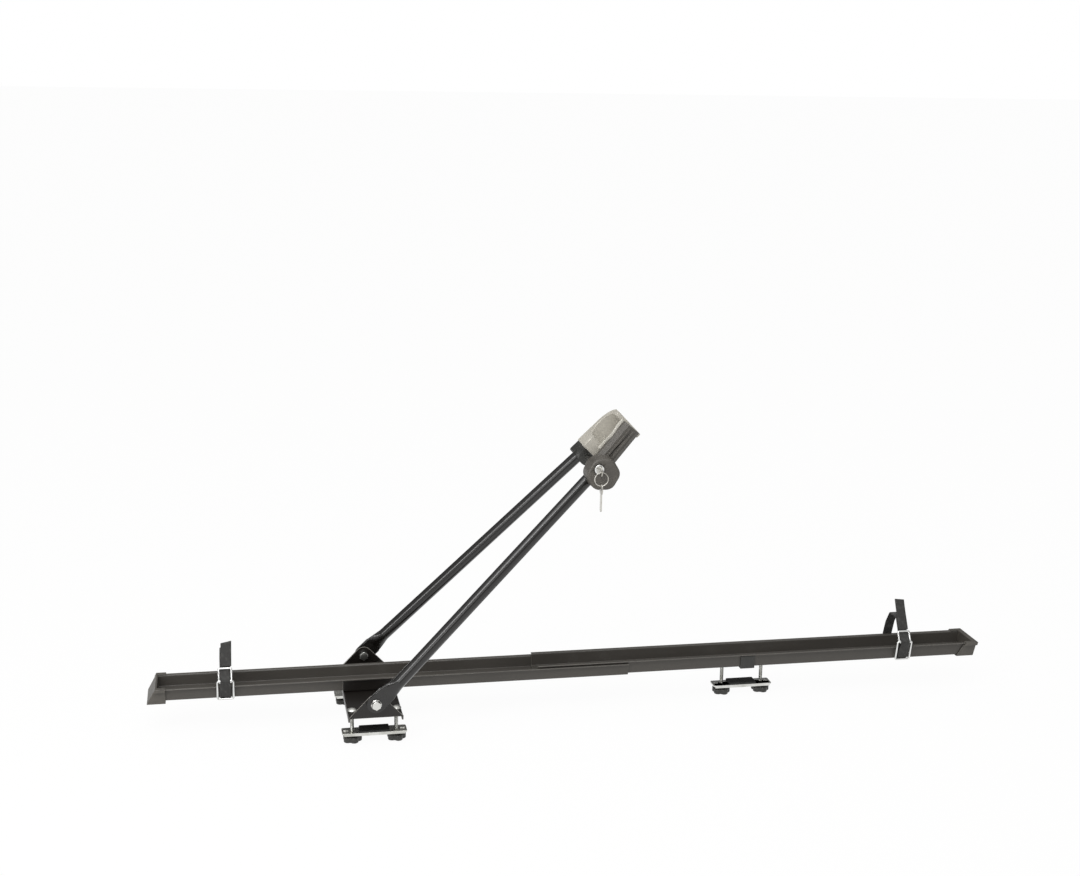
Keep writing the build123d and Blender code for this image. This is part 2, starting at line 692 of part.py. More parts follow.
# Soft liner on the near jaw's inner face, standing out along its upper edge
with BuildPart() as near_jaw_liner:
    with BuildSketch(cross_plane.offset(-half_jaw - liner_overhang)):
        liner_start = frame_tube_place - seat_radius - liner_thickness
        with Locations((frame_tube_place, frame_tube_inset)):
            Circle(seat_radius - thread_play)
        with Locations((frame_tube_place, jaw_inner - liner_thickness + jaw_outer / 2)):
            Rectangle(2 * seat_radius, jaw_outer, mode=Mode.INTERSECT)
        with Locations(((liner_start + jaw_length) / 2, jaw_inner - liner_thickness / 2)):
            Rectangle(jaw_length - liner_start, liner_thickness)
        with Locations((frame_tube_place, frame_tube_inset)):
            Circle(frame_tube_radius, mode=Mode.SUBTRACT)
    extrude(amount=jaw_width + liner_overhang)
keep(near_jaw_liner, "near_jaw_liner")

# Far jaw: open hook round the frame tube, square on its arm, seated against the ferrule's boss
hook_low = frame_tube_place - seat_radius
hook_high = frame_tube_place + seat_radius
hook_back = frame_tube_inset - seat_radius - far_jaw_back
with BuildPart() as far_jaw:
    with BuildSketch(far_cross_plane.offset(-far_jaw_side)):
        with BuildLine():
            outer = hook_low - far_jaw_lower
            tip = hook_high + far_jaw_tongue
            seat = ThreePointArc((hook_high, frame_tube_inset),
                                 (frame_tube_place, frame_tube_inset - seat_radius),
                                 (hook_low, frame_tube_inset))
            Polyline(seat @ 1, (hook_low, far_jaw_reach), (outer, far_jaw_reach), (outer, hook_back))
            Line((outer, hook_back), (frame_tube_place, hook_back))
            back = TangentArc((frame_tube_place, hook_back), (tip, frame_tube_inset - far_jaw_back),
                              tangent=(1, 0))
            Polyline(back @ 1, (tip, far_jaw_reach), (hook_high, far_jaw_reach), seat @ 0)
        make_face()
        fillet(near([(outer, far_jaw_reach), (tip, far_jaw_reach), (hook_low, far_jaw_reach),
                     (hook_high, far_jaw_reach)]), far_jaw_round)
    extrude(amount=far_jaw_side + half_jaw)
    with BuildSketch(far_cross_plane.offset(-far_foot_radius)):
        with BuildLine():
            inner = far_foot_radius / 2
            Polyline((outer, hook_back), (hook_low, hook_back), (far_foot_radius + far_jaw_round,
                     -far_foot_face), (inner, -far_foot_face), (inner, -far_foot_near),
                     (outer, -far_foot_near), close=True)
        make_face()
    extrude(amount=2 * far_foot_radius)
    with BuildSketch(arm_plane.offset(-far_foot_face)):
        with Locations((arm_length, 0)):
            Circle(far_foot_radius + thread_play)
    extrude(amount=far_foot_face - far_foot_near, mode=Mode.SUBTRACT)
keep(far_jaw, "far_jaw")

# Ferrule on the far arm's end, with the round boss that carries the far jaw and the head bolt
with BuildPart() as far_ferrule:
    with BuildSketch(arm_plane.offset(-ferrule_outer)):
        with Locations((arm_length + (ferrule_after - ferrule_before) / 2, 0)):
            RectangleRounded(ferrule_after + ferrule_before, ferrule_width, corner_radius)
    extrude(amount=ferrule_outer - far_foot_face)
    fillet(far_ferrule.faces().sort_by(Axis.Y)[-1].edges(), ferrule_round)
    with BuildSketch(arm_plane.offset(-far_foot_face)):
        with Locations((arm_length, 0)):
            Circle(far_foot_radius)
    extrude(amount=far_foot_face - far_foot_near)
    add(arm_socket(far_arm_inset, far_arm_place, 1), mode=Mode.SUBTRACT)
    with BuildSketch(arm_plane.offset(-ferrule_outer)):
        with Locations((arm_length, 0)):
            Circle(m8_radius + thread_play)
    extrude(amount=ferrule_outer, mode=Mode.SUBTRACT)
    with BuildSketch(arm_plane.offset(-ferrule_outer)):
        with Locations((arm_length, 0)):
            RegularPolygon(m8_nut_flats / 2 + thread_play, 6, major_radius=False)
    extrude(amount=head_nut_recess, mode=Mode.SUBTRACT)
keep(far_ferrule, "far_ferrule")

# Head bolt, fixed in the ferrule; the knob runs on its near end
knob_back = jaw_foot_outer + head_knob_play
knob_front = knob_back + head_knob_height
head_nut_end = ferrule_outer - head_nut_recess + m8_nut_height
with BuildPart() as head_bolt:
    with BuildSketch(head_plane.offset(-head_nut_end - bolt_spare / 2)):
        Circle(m8_radius)
    extrude(amount=head_nut_end + bolt_spare / 2 + knob_back + head_bolt_depth - bolt_spare)
    chamfer(head_bolt.edges().group_by(Axis.Y)[0], m8_radius / 4)
    chamfer(head_bolt.edges().group_by(Axis.Y)[-1], m8_radius / 4)
keep(head_bolt, "head_bolt")
with BuildPart() as head_nut:
    with BuildSketch(arm_plane.offset(-head_nut_end)):
        with Locations((arm_length, 0)):
            RegularPolygon(m8_nut_flats / 2, 6, major_radius=False)
            Circle(m8_radius + thread_play, mode=Mode.SUBTRACT)
    extrude(amount=m8_nut_height)
keep(head_nut, "head_nut")

# Head knob: tapered six-lobed moulding with a pocket for the lock
knob_plane = Plane(origin=head_point, x_dir=(1, 0, 0), z_dir=near_side)
lock_place = (lock_offset * cos(radians(lock_angle)), lock_offset * sin(radians(lock_angle)))
lock_back = knob_front + lock_proud - lock_length
with BuildPart() as head_knob:
    with BuildSketch(knob_plane.offset(knob_back)) as knob_outline:
        RegularPolygon(head_knob_radius, head_knob_sides)
        fillet(knob_outline.vertices(), head_knob_corner)
    extrude(amount=head_knob_height, taper=head_knob_taper)
    fillet(head_knob.faces().sort_by(Axis.Y)[0].edges(), head_knob_edge)
    with BuildSketch(knob_plane.offset(knob_back)):
        Circle(swing_bore)
    extrude(amount=head_bolt_depth, mode=Mode.SUBTRACT)
    with BuildSketch(knob_plane.offset(lock_back)):
        with Locations(lock_place):
            Circle(lock_radius + thread_play)
    extrude(amount=lock_length, mode=Mode.SUBTRACT)
keep(head_knob, "head_knob")

# Lock barrel, its turning plug with the key in it, and the ring with a spare key
lock_front = knob_front + lock_proud
with BuildPart() as lock_barrel:
    with BuildSketch(knob_plane.offset(lock_back)):
        with Locations(lock_place):
            Circle(lock_radius)
    extrude(amount=lock_length)
    chamfer(lock_barrel.faces().sort_by(Axis.Y)[0].edges(), plug_proud)
    with BuildSketch(knob_plane.offset(lock_front)):
        with Locations(lock_place):
            Circle(plug_radius + thread_play)
    extrude(amount=-lock_length + lock_proud, mode=Mode.SUBTRACT)
keep(lock_barrel, "lock_barrel")
plug_back = lock_back + lock_proud + thread_play
plug_front = lock_front + plug_proud
with BuildPart() as lock_plug:
    with BuildSketch(knob_plane.offset(plug_back)):
        with Locations(lock_place):
            Circle(plug_radius)
            Rectangle(key_thickness + 2 * thread_play, key_blade_width + 2 * thread_play,
                      mode=Mode.SUBTRACT)
    extrude(amount=plug_front - plug_back)
keep(lock_plug, "lock_plug")

# Plane of the key in the lock: its length runs out of the lock, its flat faces look along X
lock_point = head_point + Vector(lock_place[0], 0, lock_place[1])
key_plane = Plane(origin=lock_point - Vector(key_thickness / 2, 0, 0), x_dir=near_side, z_dir=(1, 0, 0))
bow_place = plug_front + key_neck_length + key_bow_radius / 2
key_hole_place = bow_place + key_bow_radius - 2 * key_hole_radius


def key(plane, blade_start, blade_end, bow_centre, hole):
    """Flat key along the plane's X axis."""
    with BuildPart() as flat_key:
        with BuildSketch(plane):
            with Locations((bow_centre, 0)):
                Circle(key_bow_radius)
            with Locations(((blade_start + bow_centre) / 2, 0)):
                Rectangle(abs(bow_centre - blade_start), key_blade_width)
            with Locations((hole, 0)):
                Circle(key_hole_radius, mode=Mode.SUBTRACT)
        extrude(amount=key_thickness)
        tip = near_key_tip(plane, blade_start)
        chamfer(flat_key.edges().filter_by(Axis.X).sort_by_distance(tip)[:2], key_thickness)
    return flat_key


def near_key_tip(plane, blade_start):
    """Middle of a key's blade end."""
    return plane.from_local_coords(Vector(blade_start, 0, key_thickness / 2))


lock_key = key(key_plane, plug_back, plug_front, bow_place, key_hole_place)
keep(lock_key, "lock_key")
ring_top = lock_point + near_side * key_hole_place
ring_drop = ring_radius + key_hole_radius - ring_wire_radius - ring_play
ring_centre = ring_top - Vector(0, 0, ring_drop)
with BuildPart() as key_ring:
    with Locations(Location(Plane(origin=ring_centre, z_dir=near_side))):
        Torus(ring_radius, ring_wire_radius)
keep(key_ring, "key_ring")
spare_hole = ring_centre - Vector(0, 0, ring_drop)
spare_plane = Plane(origin=spare_hole - Vector(key_thickness / 2, 0, 0), x_dir=(0, 0, 1), z_dir=(1, 0, 0))
spare_bow = 2 * key_hole_radius - key_bow_radius
spare_key = key(spare_plane, spare_bow - key_bow_radius - key_blade_length, 0, spare_bow, 0)
keep(spare_key, "spare_key")


def strap_loop(place, bottom, rail_width, rail_height):
    """Webbing strap round the rail and up over a wheel's rim, with a free tail."""
    base = rail_width / 2 + strap_play
    brim = rail_width / 2 + rail_lip + strap_play
    side = [(base, bottom - strap_play), (brim, bottom + rail_height),
            (strap_tyre_half, bottom + strap_tyre_height), (strap_rim_half, bottom + strap_top)]
    left = [(-y, z) for y, z in reversed(side)]
    with BuildSketch() as inside:
        with BuildLine():
            Polyline(*side, *left, close=True)
        make_face()
        fillet(inside.vertices(), strap_corner / 2)
    rise = Vector(side[3][0] - side[2][0], side[3][1] - side[2][1])
    run = Vector(-rise.X, rise.Y).normalized()
    out = Vector(-run.Y, run.X)
    root = Vector(-side[2][0], side[2][1])
    tip = Vector(-side[3][0], side[3][1]) + run * strap_tail_rise
    with BuildPart() as strap:
        with BuildSketch(along_x(place - strap_width / 2)):
            add(inside.sketch)
            offset(amount=strap_thickness)
            with BuildLine():
                low = out * (strap_thickness - strap_play)
                high = out * (2 * strap_thickness)
                Polyline(root + low, tip + low, tip + high, root + high, close=True)
            make_face()
            add(inside.sketch, mode=Mode.SUBTRACT)
        extrude(amount=strap_width)
    return strap


def buckle(place, bottom, rail_width, rail_height):
    """Wire frame on the strap's near side and the lever hinged to its upper bar."""
    offset_low = strap_thickness + strap_play + buckle_wire_radius
    offset_bend = strap_thickness + strap_play + buckle_sleeve_radius
    base = rail_width / 2 + strap_play
    brim = rail_width / 2 + rail_lip + strap_play
    low = Vector(place, -base - offset_low, bottom)
    bend = Vector(place, -brim - offset_bend, bottom + rail_height + buckle_bend_rise)
    top = Vector(place, -strap_tyre_half - strap_thickness - offset_low,
                 bottom + strap_tyre_height + buckle_wire_radius)
    lever_length = (top - bend).length
    half = buckle_width / 2 - buckle_wire_radius
    up = (bend - low).normalized()
    frame_plane = Plane(origin=(low + bend) / 2, x_dir=(1, 0, 0), z_dir=Vector(1, 0, 0).cross(up))
    lever_plane = Plane(origin=bend, x_dir=(1, 0, 0), z_dir=Vector(1, 0, 0).cross(top - bend))
    reach = (bend - low).length / 2
    with BuildPart() as frame:
        with BuildLine(frame_plane) as loop:
            FilletPolyline((half, -reach), (half, reach), (-half, reach), (-half, -reach),
                           radius=buckle_corner, close=True)
        with BuildSketch(Plane(origin=loop.line @ 0, z_dir=loop.line % 0)):
            Circle(buckle_wire_radius)
        sweep(path=loop.line)
    lever_half = buckle_lever_width / 2 - buckle_wire_radius
    with BuildPart() as lever:
        with BuildLine(lever_plane) as bail:
            FilletPolyline((-lever_half, 0), (-lever_half, lever_length),
                           (lever_half, lever_length), (lever_half, 0), radius=buckle_corner)
        with BuildSketch(Plane(origin=bail.line @ 0, z_dir=bail.line % 0)):
            Circle(buckle_wire_radius)
        sweep(path=bail.line)
        sleeve = along_x(place - lever_half)
        with BuildSketch(sleeve):
            with Locations((bend.Y, bend.Z)):
                Circle(buckle_sleeve_radius)
        extrude(amount=2 * lever_half)
        with BuildSketch(along_x(place - buckle_width)):
            with Locations((bend.Y, bend.Z)):
                Circle(buckle_wire_radius + pivot_play)
        extrude(amount=2 * buckle_width, mode=Mode.SUBTRACT)
    return frame, lever


# Straps and buckles at both wheels
strap_fits = {
    "front": (front_strap_place, front_rail_bottom, front_rail_width, front_rail_height),
    "rear": (rear_strap_place, rear_rail_bottom, rear_rail_width, rear_rail_height),
}
for end, fit in strap_fits.items():
    keep(strap_loop(*fit), f"{end}_strap")
    buckle_frame, buckle_lever = buckle(*fit)
    keep(buckle_frame, f"{end}_buckle_frame")
    keep(buckle_lever, f"{end}_buckle_lever")
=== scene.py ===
from math import acos, cos, pi, radians, sin, tan

import bmesh
import bpy
from mathutils import Matrix, Vector


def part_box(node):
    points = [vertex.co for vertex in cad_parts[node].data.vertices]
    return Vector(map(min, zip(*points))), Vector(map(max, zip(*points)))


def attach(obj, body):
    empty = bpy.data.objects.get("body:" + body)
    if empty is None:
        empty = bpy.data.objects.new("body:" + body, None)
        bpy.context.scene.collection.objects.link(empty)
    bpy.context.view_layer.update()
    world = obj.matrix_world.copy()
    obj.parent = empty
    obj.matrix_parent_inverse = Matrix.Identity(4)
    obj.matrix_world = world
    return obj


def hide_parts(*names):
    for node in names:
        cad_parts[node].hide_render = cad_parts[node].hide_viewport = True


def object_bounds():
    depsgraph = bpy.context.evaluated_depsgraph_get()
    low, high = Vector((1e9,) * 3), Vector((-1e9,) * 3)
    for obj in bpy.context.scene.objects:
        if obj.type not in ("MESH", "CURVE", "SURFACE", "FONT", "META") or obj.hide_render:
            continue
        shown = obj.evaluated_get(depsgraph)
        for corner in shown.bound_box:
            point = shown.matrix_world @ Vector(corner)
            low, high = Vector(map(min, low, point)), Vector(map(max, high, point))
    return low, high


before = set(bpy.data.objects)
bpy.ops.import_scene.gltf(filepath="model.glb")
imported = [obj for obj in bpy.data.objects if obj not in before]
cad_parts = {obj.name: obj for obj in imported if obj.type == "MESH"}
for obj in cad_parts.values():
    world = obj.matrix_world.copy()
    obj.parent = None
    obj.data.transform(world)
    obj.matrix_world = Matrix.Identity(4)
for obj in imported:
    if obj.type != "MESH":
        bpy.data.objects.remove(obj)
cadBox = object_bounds()
print("frame loaded:", len(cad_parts), "CAD nodes")

mm = 0.001


# Helpers for node trees and meshes

def linear(hexColour):
    # sRGB hex to the linear RGBA that sockets take
    channels = [int(hexColour[i:i + 2], 16) / 255 for i in (0, 2, 4)]
    return [c / 12.92 if c <= 0.04045 else ((c + 0.055) / 1.055) ** 2.4 for c in channels] + [1]


def addNode(tree, kind, settings=None, links=None, **choices):
    # Sockets go by name or number: settings hold plain values, links hold other nodes' outputs
    made = tree.nodes.new(kind)
    for key, value in choices.items():
        setattr(made, key, value)
    for socket, value in (settings or {}).items():
        made.inputs[socket].default_value = value
    for socket, source in (links or {}).items():
        tree.links.new(source, made.inputs[socket])
    return made


def startMaterial(name):
    material = bpy.data.materials.new(name)
    material.use_nodes = True
    material.node_tree.nodes.clear()
    return material, material.node_tree


def closeMaterial(tree, surface):
    addNode(tree, "ShaderNodeOutputMaterial", {}, {"Surface": surface.outputs[0]})


def newObject(name, content):
    # content is a mesh, a lamp or a camera
    made = bpy.data.objects.new(name, content)
    bpy.context.scene.collection.objects.link(made)
    return made


def meshFrom(name, points, faces):
    mesh = bpy.data.meshes.new(name)
    mesh.from_pydata([tuple(p) for p in points], [], faces)
    mesh.update()
    return mesh


def softShade(mesh, angle):
    # Smooth shading, with edges sharper than the angle in degrees kept crisp
    for face in mesh.polygons:
        face.use_smooth = True
    mesh.set_sharp_from_angle(angle=radians(angle))


def plainMesh(source, name):
    # Turns an object with live modifiers into a plain mesh object and removes the source
    shown = source.evaluated_get(bpy.context.evaluated_depsgraph_get())
    mesh = bpy.data.meshes.new_from_object(shown)
    mesh.name = name
    bpy.data.objects.remove(source)
    return newObject(name, mesh)


# Materials. Pattern scales are repeats in a metre, with their real size noted beside them.

def powderCoat(name, hexColour, hexLight, roughness, peelHeight, coat):
    # Powder coat, paint dust baked on steel: even colour, with a faint orange peel in the gloss
    material, tree = startMaterial(name)
    place = addNode(tree, "ShaderNodeTexCoord").outputs["Object"]
    cloud = addNode(tree, "ShaderNodeTexNoise", {"Scale": 9, "Detail": 4},  # 110 mm patches
                    {"Vector": place})
    peel = addNode(tree, "ShaderNodeTexNoise", {"Scale": 620, "Detail": 1},  # 1.6 mm orange peel
                   {"Vector": place})
    speck = addNode(tree, "ShaderNodeTexVoronoi", {"Scale": 330}, {"Vector": place})  # 3 mm apart
    dust = addNode(tree, "ShaderNodeMapRange", {1: 0.0, 2: 0.16, 3: 0.55, 4: 0.0},
                   {"Value": speck.outputs["Distance"]})
    amount = addNode(tree, "ShaderNodeMath", {}, {0: cloud.outputs[0], 1: dust.outputs[0]},
                     operation="MAXIMUM")
    colour = addNode(tree, "ShaderNodeMix", {6: linear(hexColour), 7: linear(hexLight)},
                     {0: amount.outputs[0]}, data_type="RGBA")
    gloss = addNode(tree, "ShaderNodeMapRange",
                    {1: 0.3, 2: 0.7, 3: roughness * 0.86, 4: roughness * 1.16},
                    {"Value": cloud.outputs[0]})
    bump = addNode(tree, "ShaderNodeBump", {"Strength": 0.5, "Distance": peelHeight},
                   {"Height": peel.outputs[0]})
    surface = addNode(tree, "ShaderNodeBsdfPrincipled",
                      {"IOR": 1.5, "Coat Weight": coat, "Coat Roughness": 0.08},
                      {"Base Color": colour.outputs[2], "Roughness": gloss.outputs[0],
                       "Normal": bump.outputs[0]})
    closeMaterial(tree, surface)
    return material


def platedSteel(name, hexColour, hexStain, roughness, grainHeight):
    # Plated steel: a bright skin that shows the drawn or pressed grain under it and a faint stain
    material, tree = startMaterial(name)
    place = addNode(tree, "ShaderNodeTexCoord").outputs["Object"]
    stretched = addNode(tree, "ShaderNodeMapping", {"Scale": (60, 60, 700)},  # 17 mm by 1.4 mm
                        {"Vector": place})
    stain = addNode(tree, "ShaderNodeTexNoise", {"Scale": 55, "Detail": 5},  # 18 mm patches
                    {"Vector": place})
    grain = addNode(tree, "ShaderNodeTexNoise", {"Scale": 1, "Detail": 3},
                    {"Vector": stretched.outputs[0]})
    share = addNode(tree, "ShaderNodeMapRange", {1: 0.42, 2: 0.72, 3: 0, 4: 1},
                    {"Value": stain.outputs[0]})
    colour = addNode(tree, "ShaderNodeMix", {6: linear(hexColour), 7: linear(hexStain)},
                     {0: share.outputs[0]}, data_type="RGBA")
    gloss = addNode(tree, "ShaderNodeMapRange",
                    {1: 0.3, 2: 0.75, 3: roughness * 0.75, 4: roughness * 1.4},
                    {"Value": stain.outputs[0]})
    bump = addNode(tree, "ShaderNodeBump", {"Strength": 0.35, "Distance": grainHeight},
                   {"Height": grain.outputs[0]})
    surface = addNode(tree, "ShaderNodeBsdfPrincipled", {"Metallic": 1.0},
                      {"Base Color": colour.outputs[2], "Roughness": gloss.outputs[0],
                       "Normal": bump.outputs[0]})
    closeMaterial(tree, surface)
    return material


def mouldedNylon(name, hexColour, hexLight, roughness, grit):
    # Glass-filled nylon, injection moulded: satin, with the fine sparked grain of its mould
    material, tree = startMaterial(name)
    place = addNode(tree, "ShaderNodeTexCoord").outputs["Object"]
    flow = addNode(tree, "ShaderNodeTexNoise",
                   {"Scale": 38, "Detail": 5, "Distortion": 0.6},  # 26 mm flow marks
                   {"Vector": place})
    grain = addNode(tree, "ShaderNodeTexVoronoi", {"Scale": 1 / grit}, {"Vector": place})
    share = addNode(tree, "ShaderNodeMapRange", {1: 0.3, 2: 0.75, 3: 0, 4: 1},
                    {"Value": flow.outputs[0]})
    colour = addNode(tree, "ShaderNodeMix", {6: linear(hexColour), 7: linear(hexLight)},
                     {0: share.outputs[0]}, data_type="RGBA")
    gloss = addNode(tree, "ShaderNodeMapRange",
                    {1: 0.3, 2: 0.7, 3: roughness * 0.9, 4: roughness * 1.1},
                    {"Value": flow.outputs[0]})
    bump = addNode(tree, "ShaderNodeBump", {"Strength": 0.4, "Distance": grit / 12},
                   {"Height": grain.outputs["Distance"]})
    surface = addNode(tree, "ShaderNodeBsdfPrincipled", {"IOR": 1.53},
                      {"Base Color": colour.outputs[2], "Roughness": gloss.outputs[0],
                       "Normal": bump.outputs[0]})
    closeMaterial(tree, surface)
    return material


def curedRubber(name, hexColour, hexBloom, roughness):
    # Cured rubber: dull, with a pale bloom in cloudy patches and a soft pebbled skin
    material, tree = startMaterial(name)
    place = addNode(tree, "ShaderNodeTexCoord").outputs["Object"]
    bloom = addNode(tree, "ShaderNodeTexNoise", {"Scale": 70, "Detail": 6},  # 14 mm patches
                    {"Vector": place})
    skin = addNode(tree, "ShaderNodeTexNoise", {"Scale": 1400, "Detail": 2},  # 0.7 mm pebbles
                   {"Vector": place})
    share = addNode(tree, "ShaderNodeMapRange", {1: 0.45, 2: 0.8, 3: 0, 4: 0.8},
                    {"Value": bloom.outputs[0]})
    colour = addNode(tree, "ShaderNodeMix", {6: linear(hexColour), 7: linear(hexBloom)},
                     {0: share.outputs[0]}, data_type="RGBA")
    bump = addNode(tree, "ShaderNodeBump", {"Strength": 0.5, "Distance": 0.00008},
                   {"Height": skin.outputs[0]})
    surface = addNode(tree, "ShaderNodeBsdfPrincipled", {"Roughness": roughness, "IOR": 1.52},
                      {"Base Color": colour.outputs[2], "Normal": bump.outputs[0]})
    closeMaterial(tree, surface)
    return material


def wovenPolyester(name, hexThread, hexShadedGap, hexRubbed, threadSpacing, pickSpacing):
    # Polyester webbing, tightly woven: ribs run along the strap and the picks cross them.
    # The UV map is in metres, along the strap and across it.
    material, tree = startMaterial(name)
    place = addNode(tree, "ShaderNodeTexCoord").outputs["UV"]
    apart = addNode(tree, "ShaderNodeSeparateXYZ", {}, {0: place})
    row = addNode(tree, "ShaderNodeMath", {1: threadSpacing}, {0: apart.outputs[1]},
                  operation="DIVIDE")
    rowNumber = addNode(tree, "ShaderNodeMath", {}, {0: row.outputs[0]}, operation="FLOOR")
    halfStep = addNode(tree, "ShaderNodeMath", {1: 0.5}, {0: rowNumber.outputs[0]},
                       operation="MULTIPLY")  # each rib's picks lie half a step past the last one's
    pick = addNode(tree, "ShaderNodeMath", {1: pickSpacing}, {0: apart.outputs[0]},
                   operation="DIVIDE")
    shifted = addNode(tree, "ShaderNodeMath", {}, {0: pick.outputs[0], 1: halfStep.outputs[0]},
                      operation="ADD")
    acrossRow = addNode(tree, "ShaderNodeMath", {}, {0: row.outputs[0]}, operation="FRACT")
    alongPick = addNode(tree, "ShaderNodeMath", {}, {0: shifted.outputs[0]}, operation="FRACT")
    halfWave = {1: 0, 2: 1, 3: 0, 4: pi}
    humpAcross = addNode(tree, "ShaderNodeMapRange", halfWave, {"Value": acrossRow.outputs[0]})
    humpAlong = addNode(tree, "ShaderNodeMapRange", halfWave, {"Value": alongPick.outputs[0]})
    roundAcross = addNode(tree, "ShaderNodeMath", {}, {0: humpAcross.outputs[0]}, operation="SINE")
    roundAlong = addNode(tree, "ShaderNodeMath", {}, {0: humpAlong.outputs[0]}, operation="SINE")
    weave = addNode(tree, "ShaderNodeMath", {},
                    {0: roundAcross.outputs[0], 1: roundAlong.outputs[0]}, operation="MULTIPLY")
    fuzz = addNode(tree, "ShaderNodeTexNoise", {"Scale": 2600, "Detail": 3},  # 0.4 mm fuzz
                   {"Vector": place})
    wear = addNode(tree, "ShaderNodeTexNoise", {"Scale": 90, "Detail": 4},  # 11 mm patches
                   {"Vector": place})
    blend = addNode(tree, "ShaderNodeMath", {1: 0.35}, {0: fuzz.outputs[0], 2: weave.outputs[0]},
                    operation="MULTIPLY_ADD")
    share = addNode(tree, "ShaderNodeMapRange", {1: 0.2, 2: 1.15, 3: 0, 4: 1},
                    {"Value": blend.outputs[0]})
    # The colour darkens towards the weave's low points: painted shade between the threads
    colour = addNode(tree, "ShaderNodeMix", {6: linear(hexShadedGap), 7: linear(hexThread)},
                     {0: share.outputs[0]}, data_type="RGBA")
    rub = addNode(tree, "ShaderNodeMapRange", {1: 0.5, 2: 0.8, 3: 0, 4: 0.35},
                  {"Value": wear.outputs[0]})
    dulled = addNode(tree, "ShaderNodeMix", {7: linear(hexRubbed)},
                     {6: colour.outputs[2], 0: rub.outputs[0]}, data_type="RGBA")
    bump = addNode(tree, "ShaderNodeBump", {"Strength": 0.8, "Distance": 0.00025},
                   {"Height": blend.outputs[0]})
    surface = addNode(tree, "ShaderNodeBsdfPrincipled",
                      {"Roughness": 0.78, "Sheen Weight": 0.25, "Sheen Roughness": 0.4, "IOR": 1.5},
                      {"Base Color": dulled.outputs[2], "Normal": bump.outputs[0]})
    closeMaterial(tree, surface)
    return material


finishes = {  # hex colours, roughness, then the pattern's height or spacing in metres, and coat
    "railCoat": powderCoat("satinPowderCoat", "403d39", "494641", 0.42, 0.00006, 0.0),
    # Lighter colours for the rail's rounded edges: a painted highlight
    "railEdge": powderCoat("satinPowderCoatEdgeHighlight", "625f5a", "7b7771", 0.34, 0.00003, 0.0),
    "plateCoat": powderCoat("satinPowderCoatBlack", "120f0d", "191613", 0.3, 0.00006, 0.0),
    # Lighter colours for the base plate's rounded edges: a painted highlight
    "plateEdge": powderCoat("satinPowderCoatBlackEdgeHighlight", "6f6b66", "8f8b85", 0.36, 0.00003, 0.0),
    "armCoat": powderCoat("glossPowderCoat", "0c0a09", "12100e", 0.26, 0.0, 0.4),
    "zinc": platedSteel("brightZincPlate", "dcdcd8", "bebeb7", 0.27, 0.00003),
    "chrome": platedSteel("polishedChrome", "e6e6e4", "d2d3d1", 0.12, 0.00001),
    "nickel": platedSteel("brightNickelPlate", "cbc9c2", "aeaba2", 0.2, 0.00001),
    "darkRubber": curedRubber("curedRubberBlack", "1d1d1c", "2c2b2a", 0.72),
    "paleRubber": curedRubber("curedRubberPale", "c9c6bd", "b5b1a6", 0.62),
    "darkMoulding": mouldedNylon("mouldedNylonDark", "484540", "55514b", 0.48, 0.0009),
    "paleMoulding": mouldedNylon("mouldedNylonPale", "aaa69c", "b9b5ab", 0.45, 0.0009),
    "blackMoulding": mouldedNylon("mouldedNylonBlack", "282826", "343431", 0.5, 0.0008),
    # The second colour is painted shade in the gaps between the threads
    "webbing": wovenPolyester("wovenPolyesterWebbing", "403f3d", "141413", "6f6e6b",
                              0.0014, 0.0019),  # threads drawn coarse enough to show
}
print("materials made:", len(finishes))


# CAD pieces dressed with rounded edges

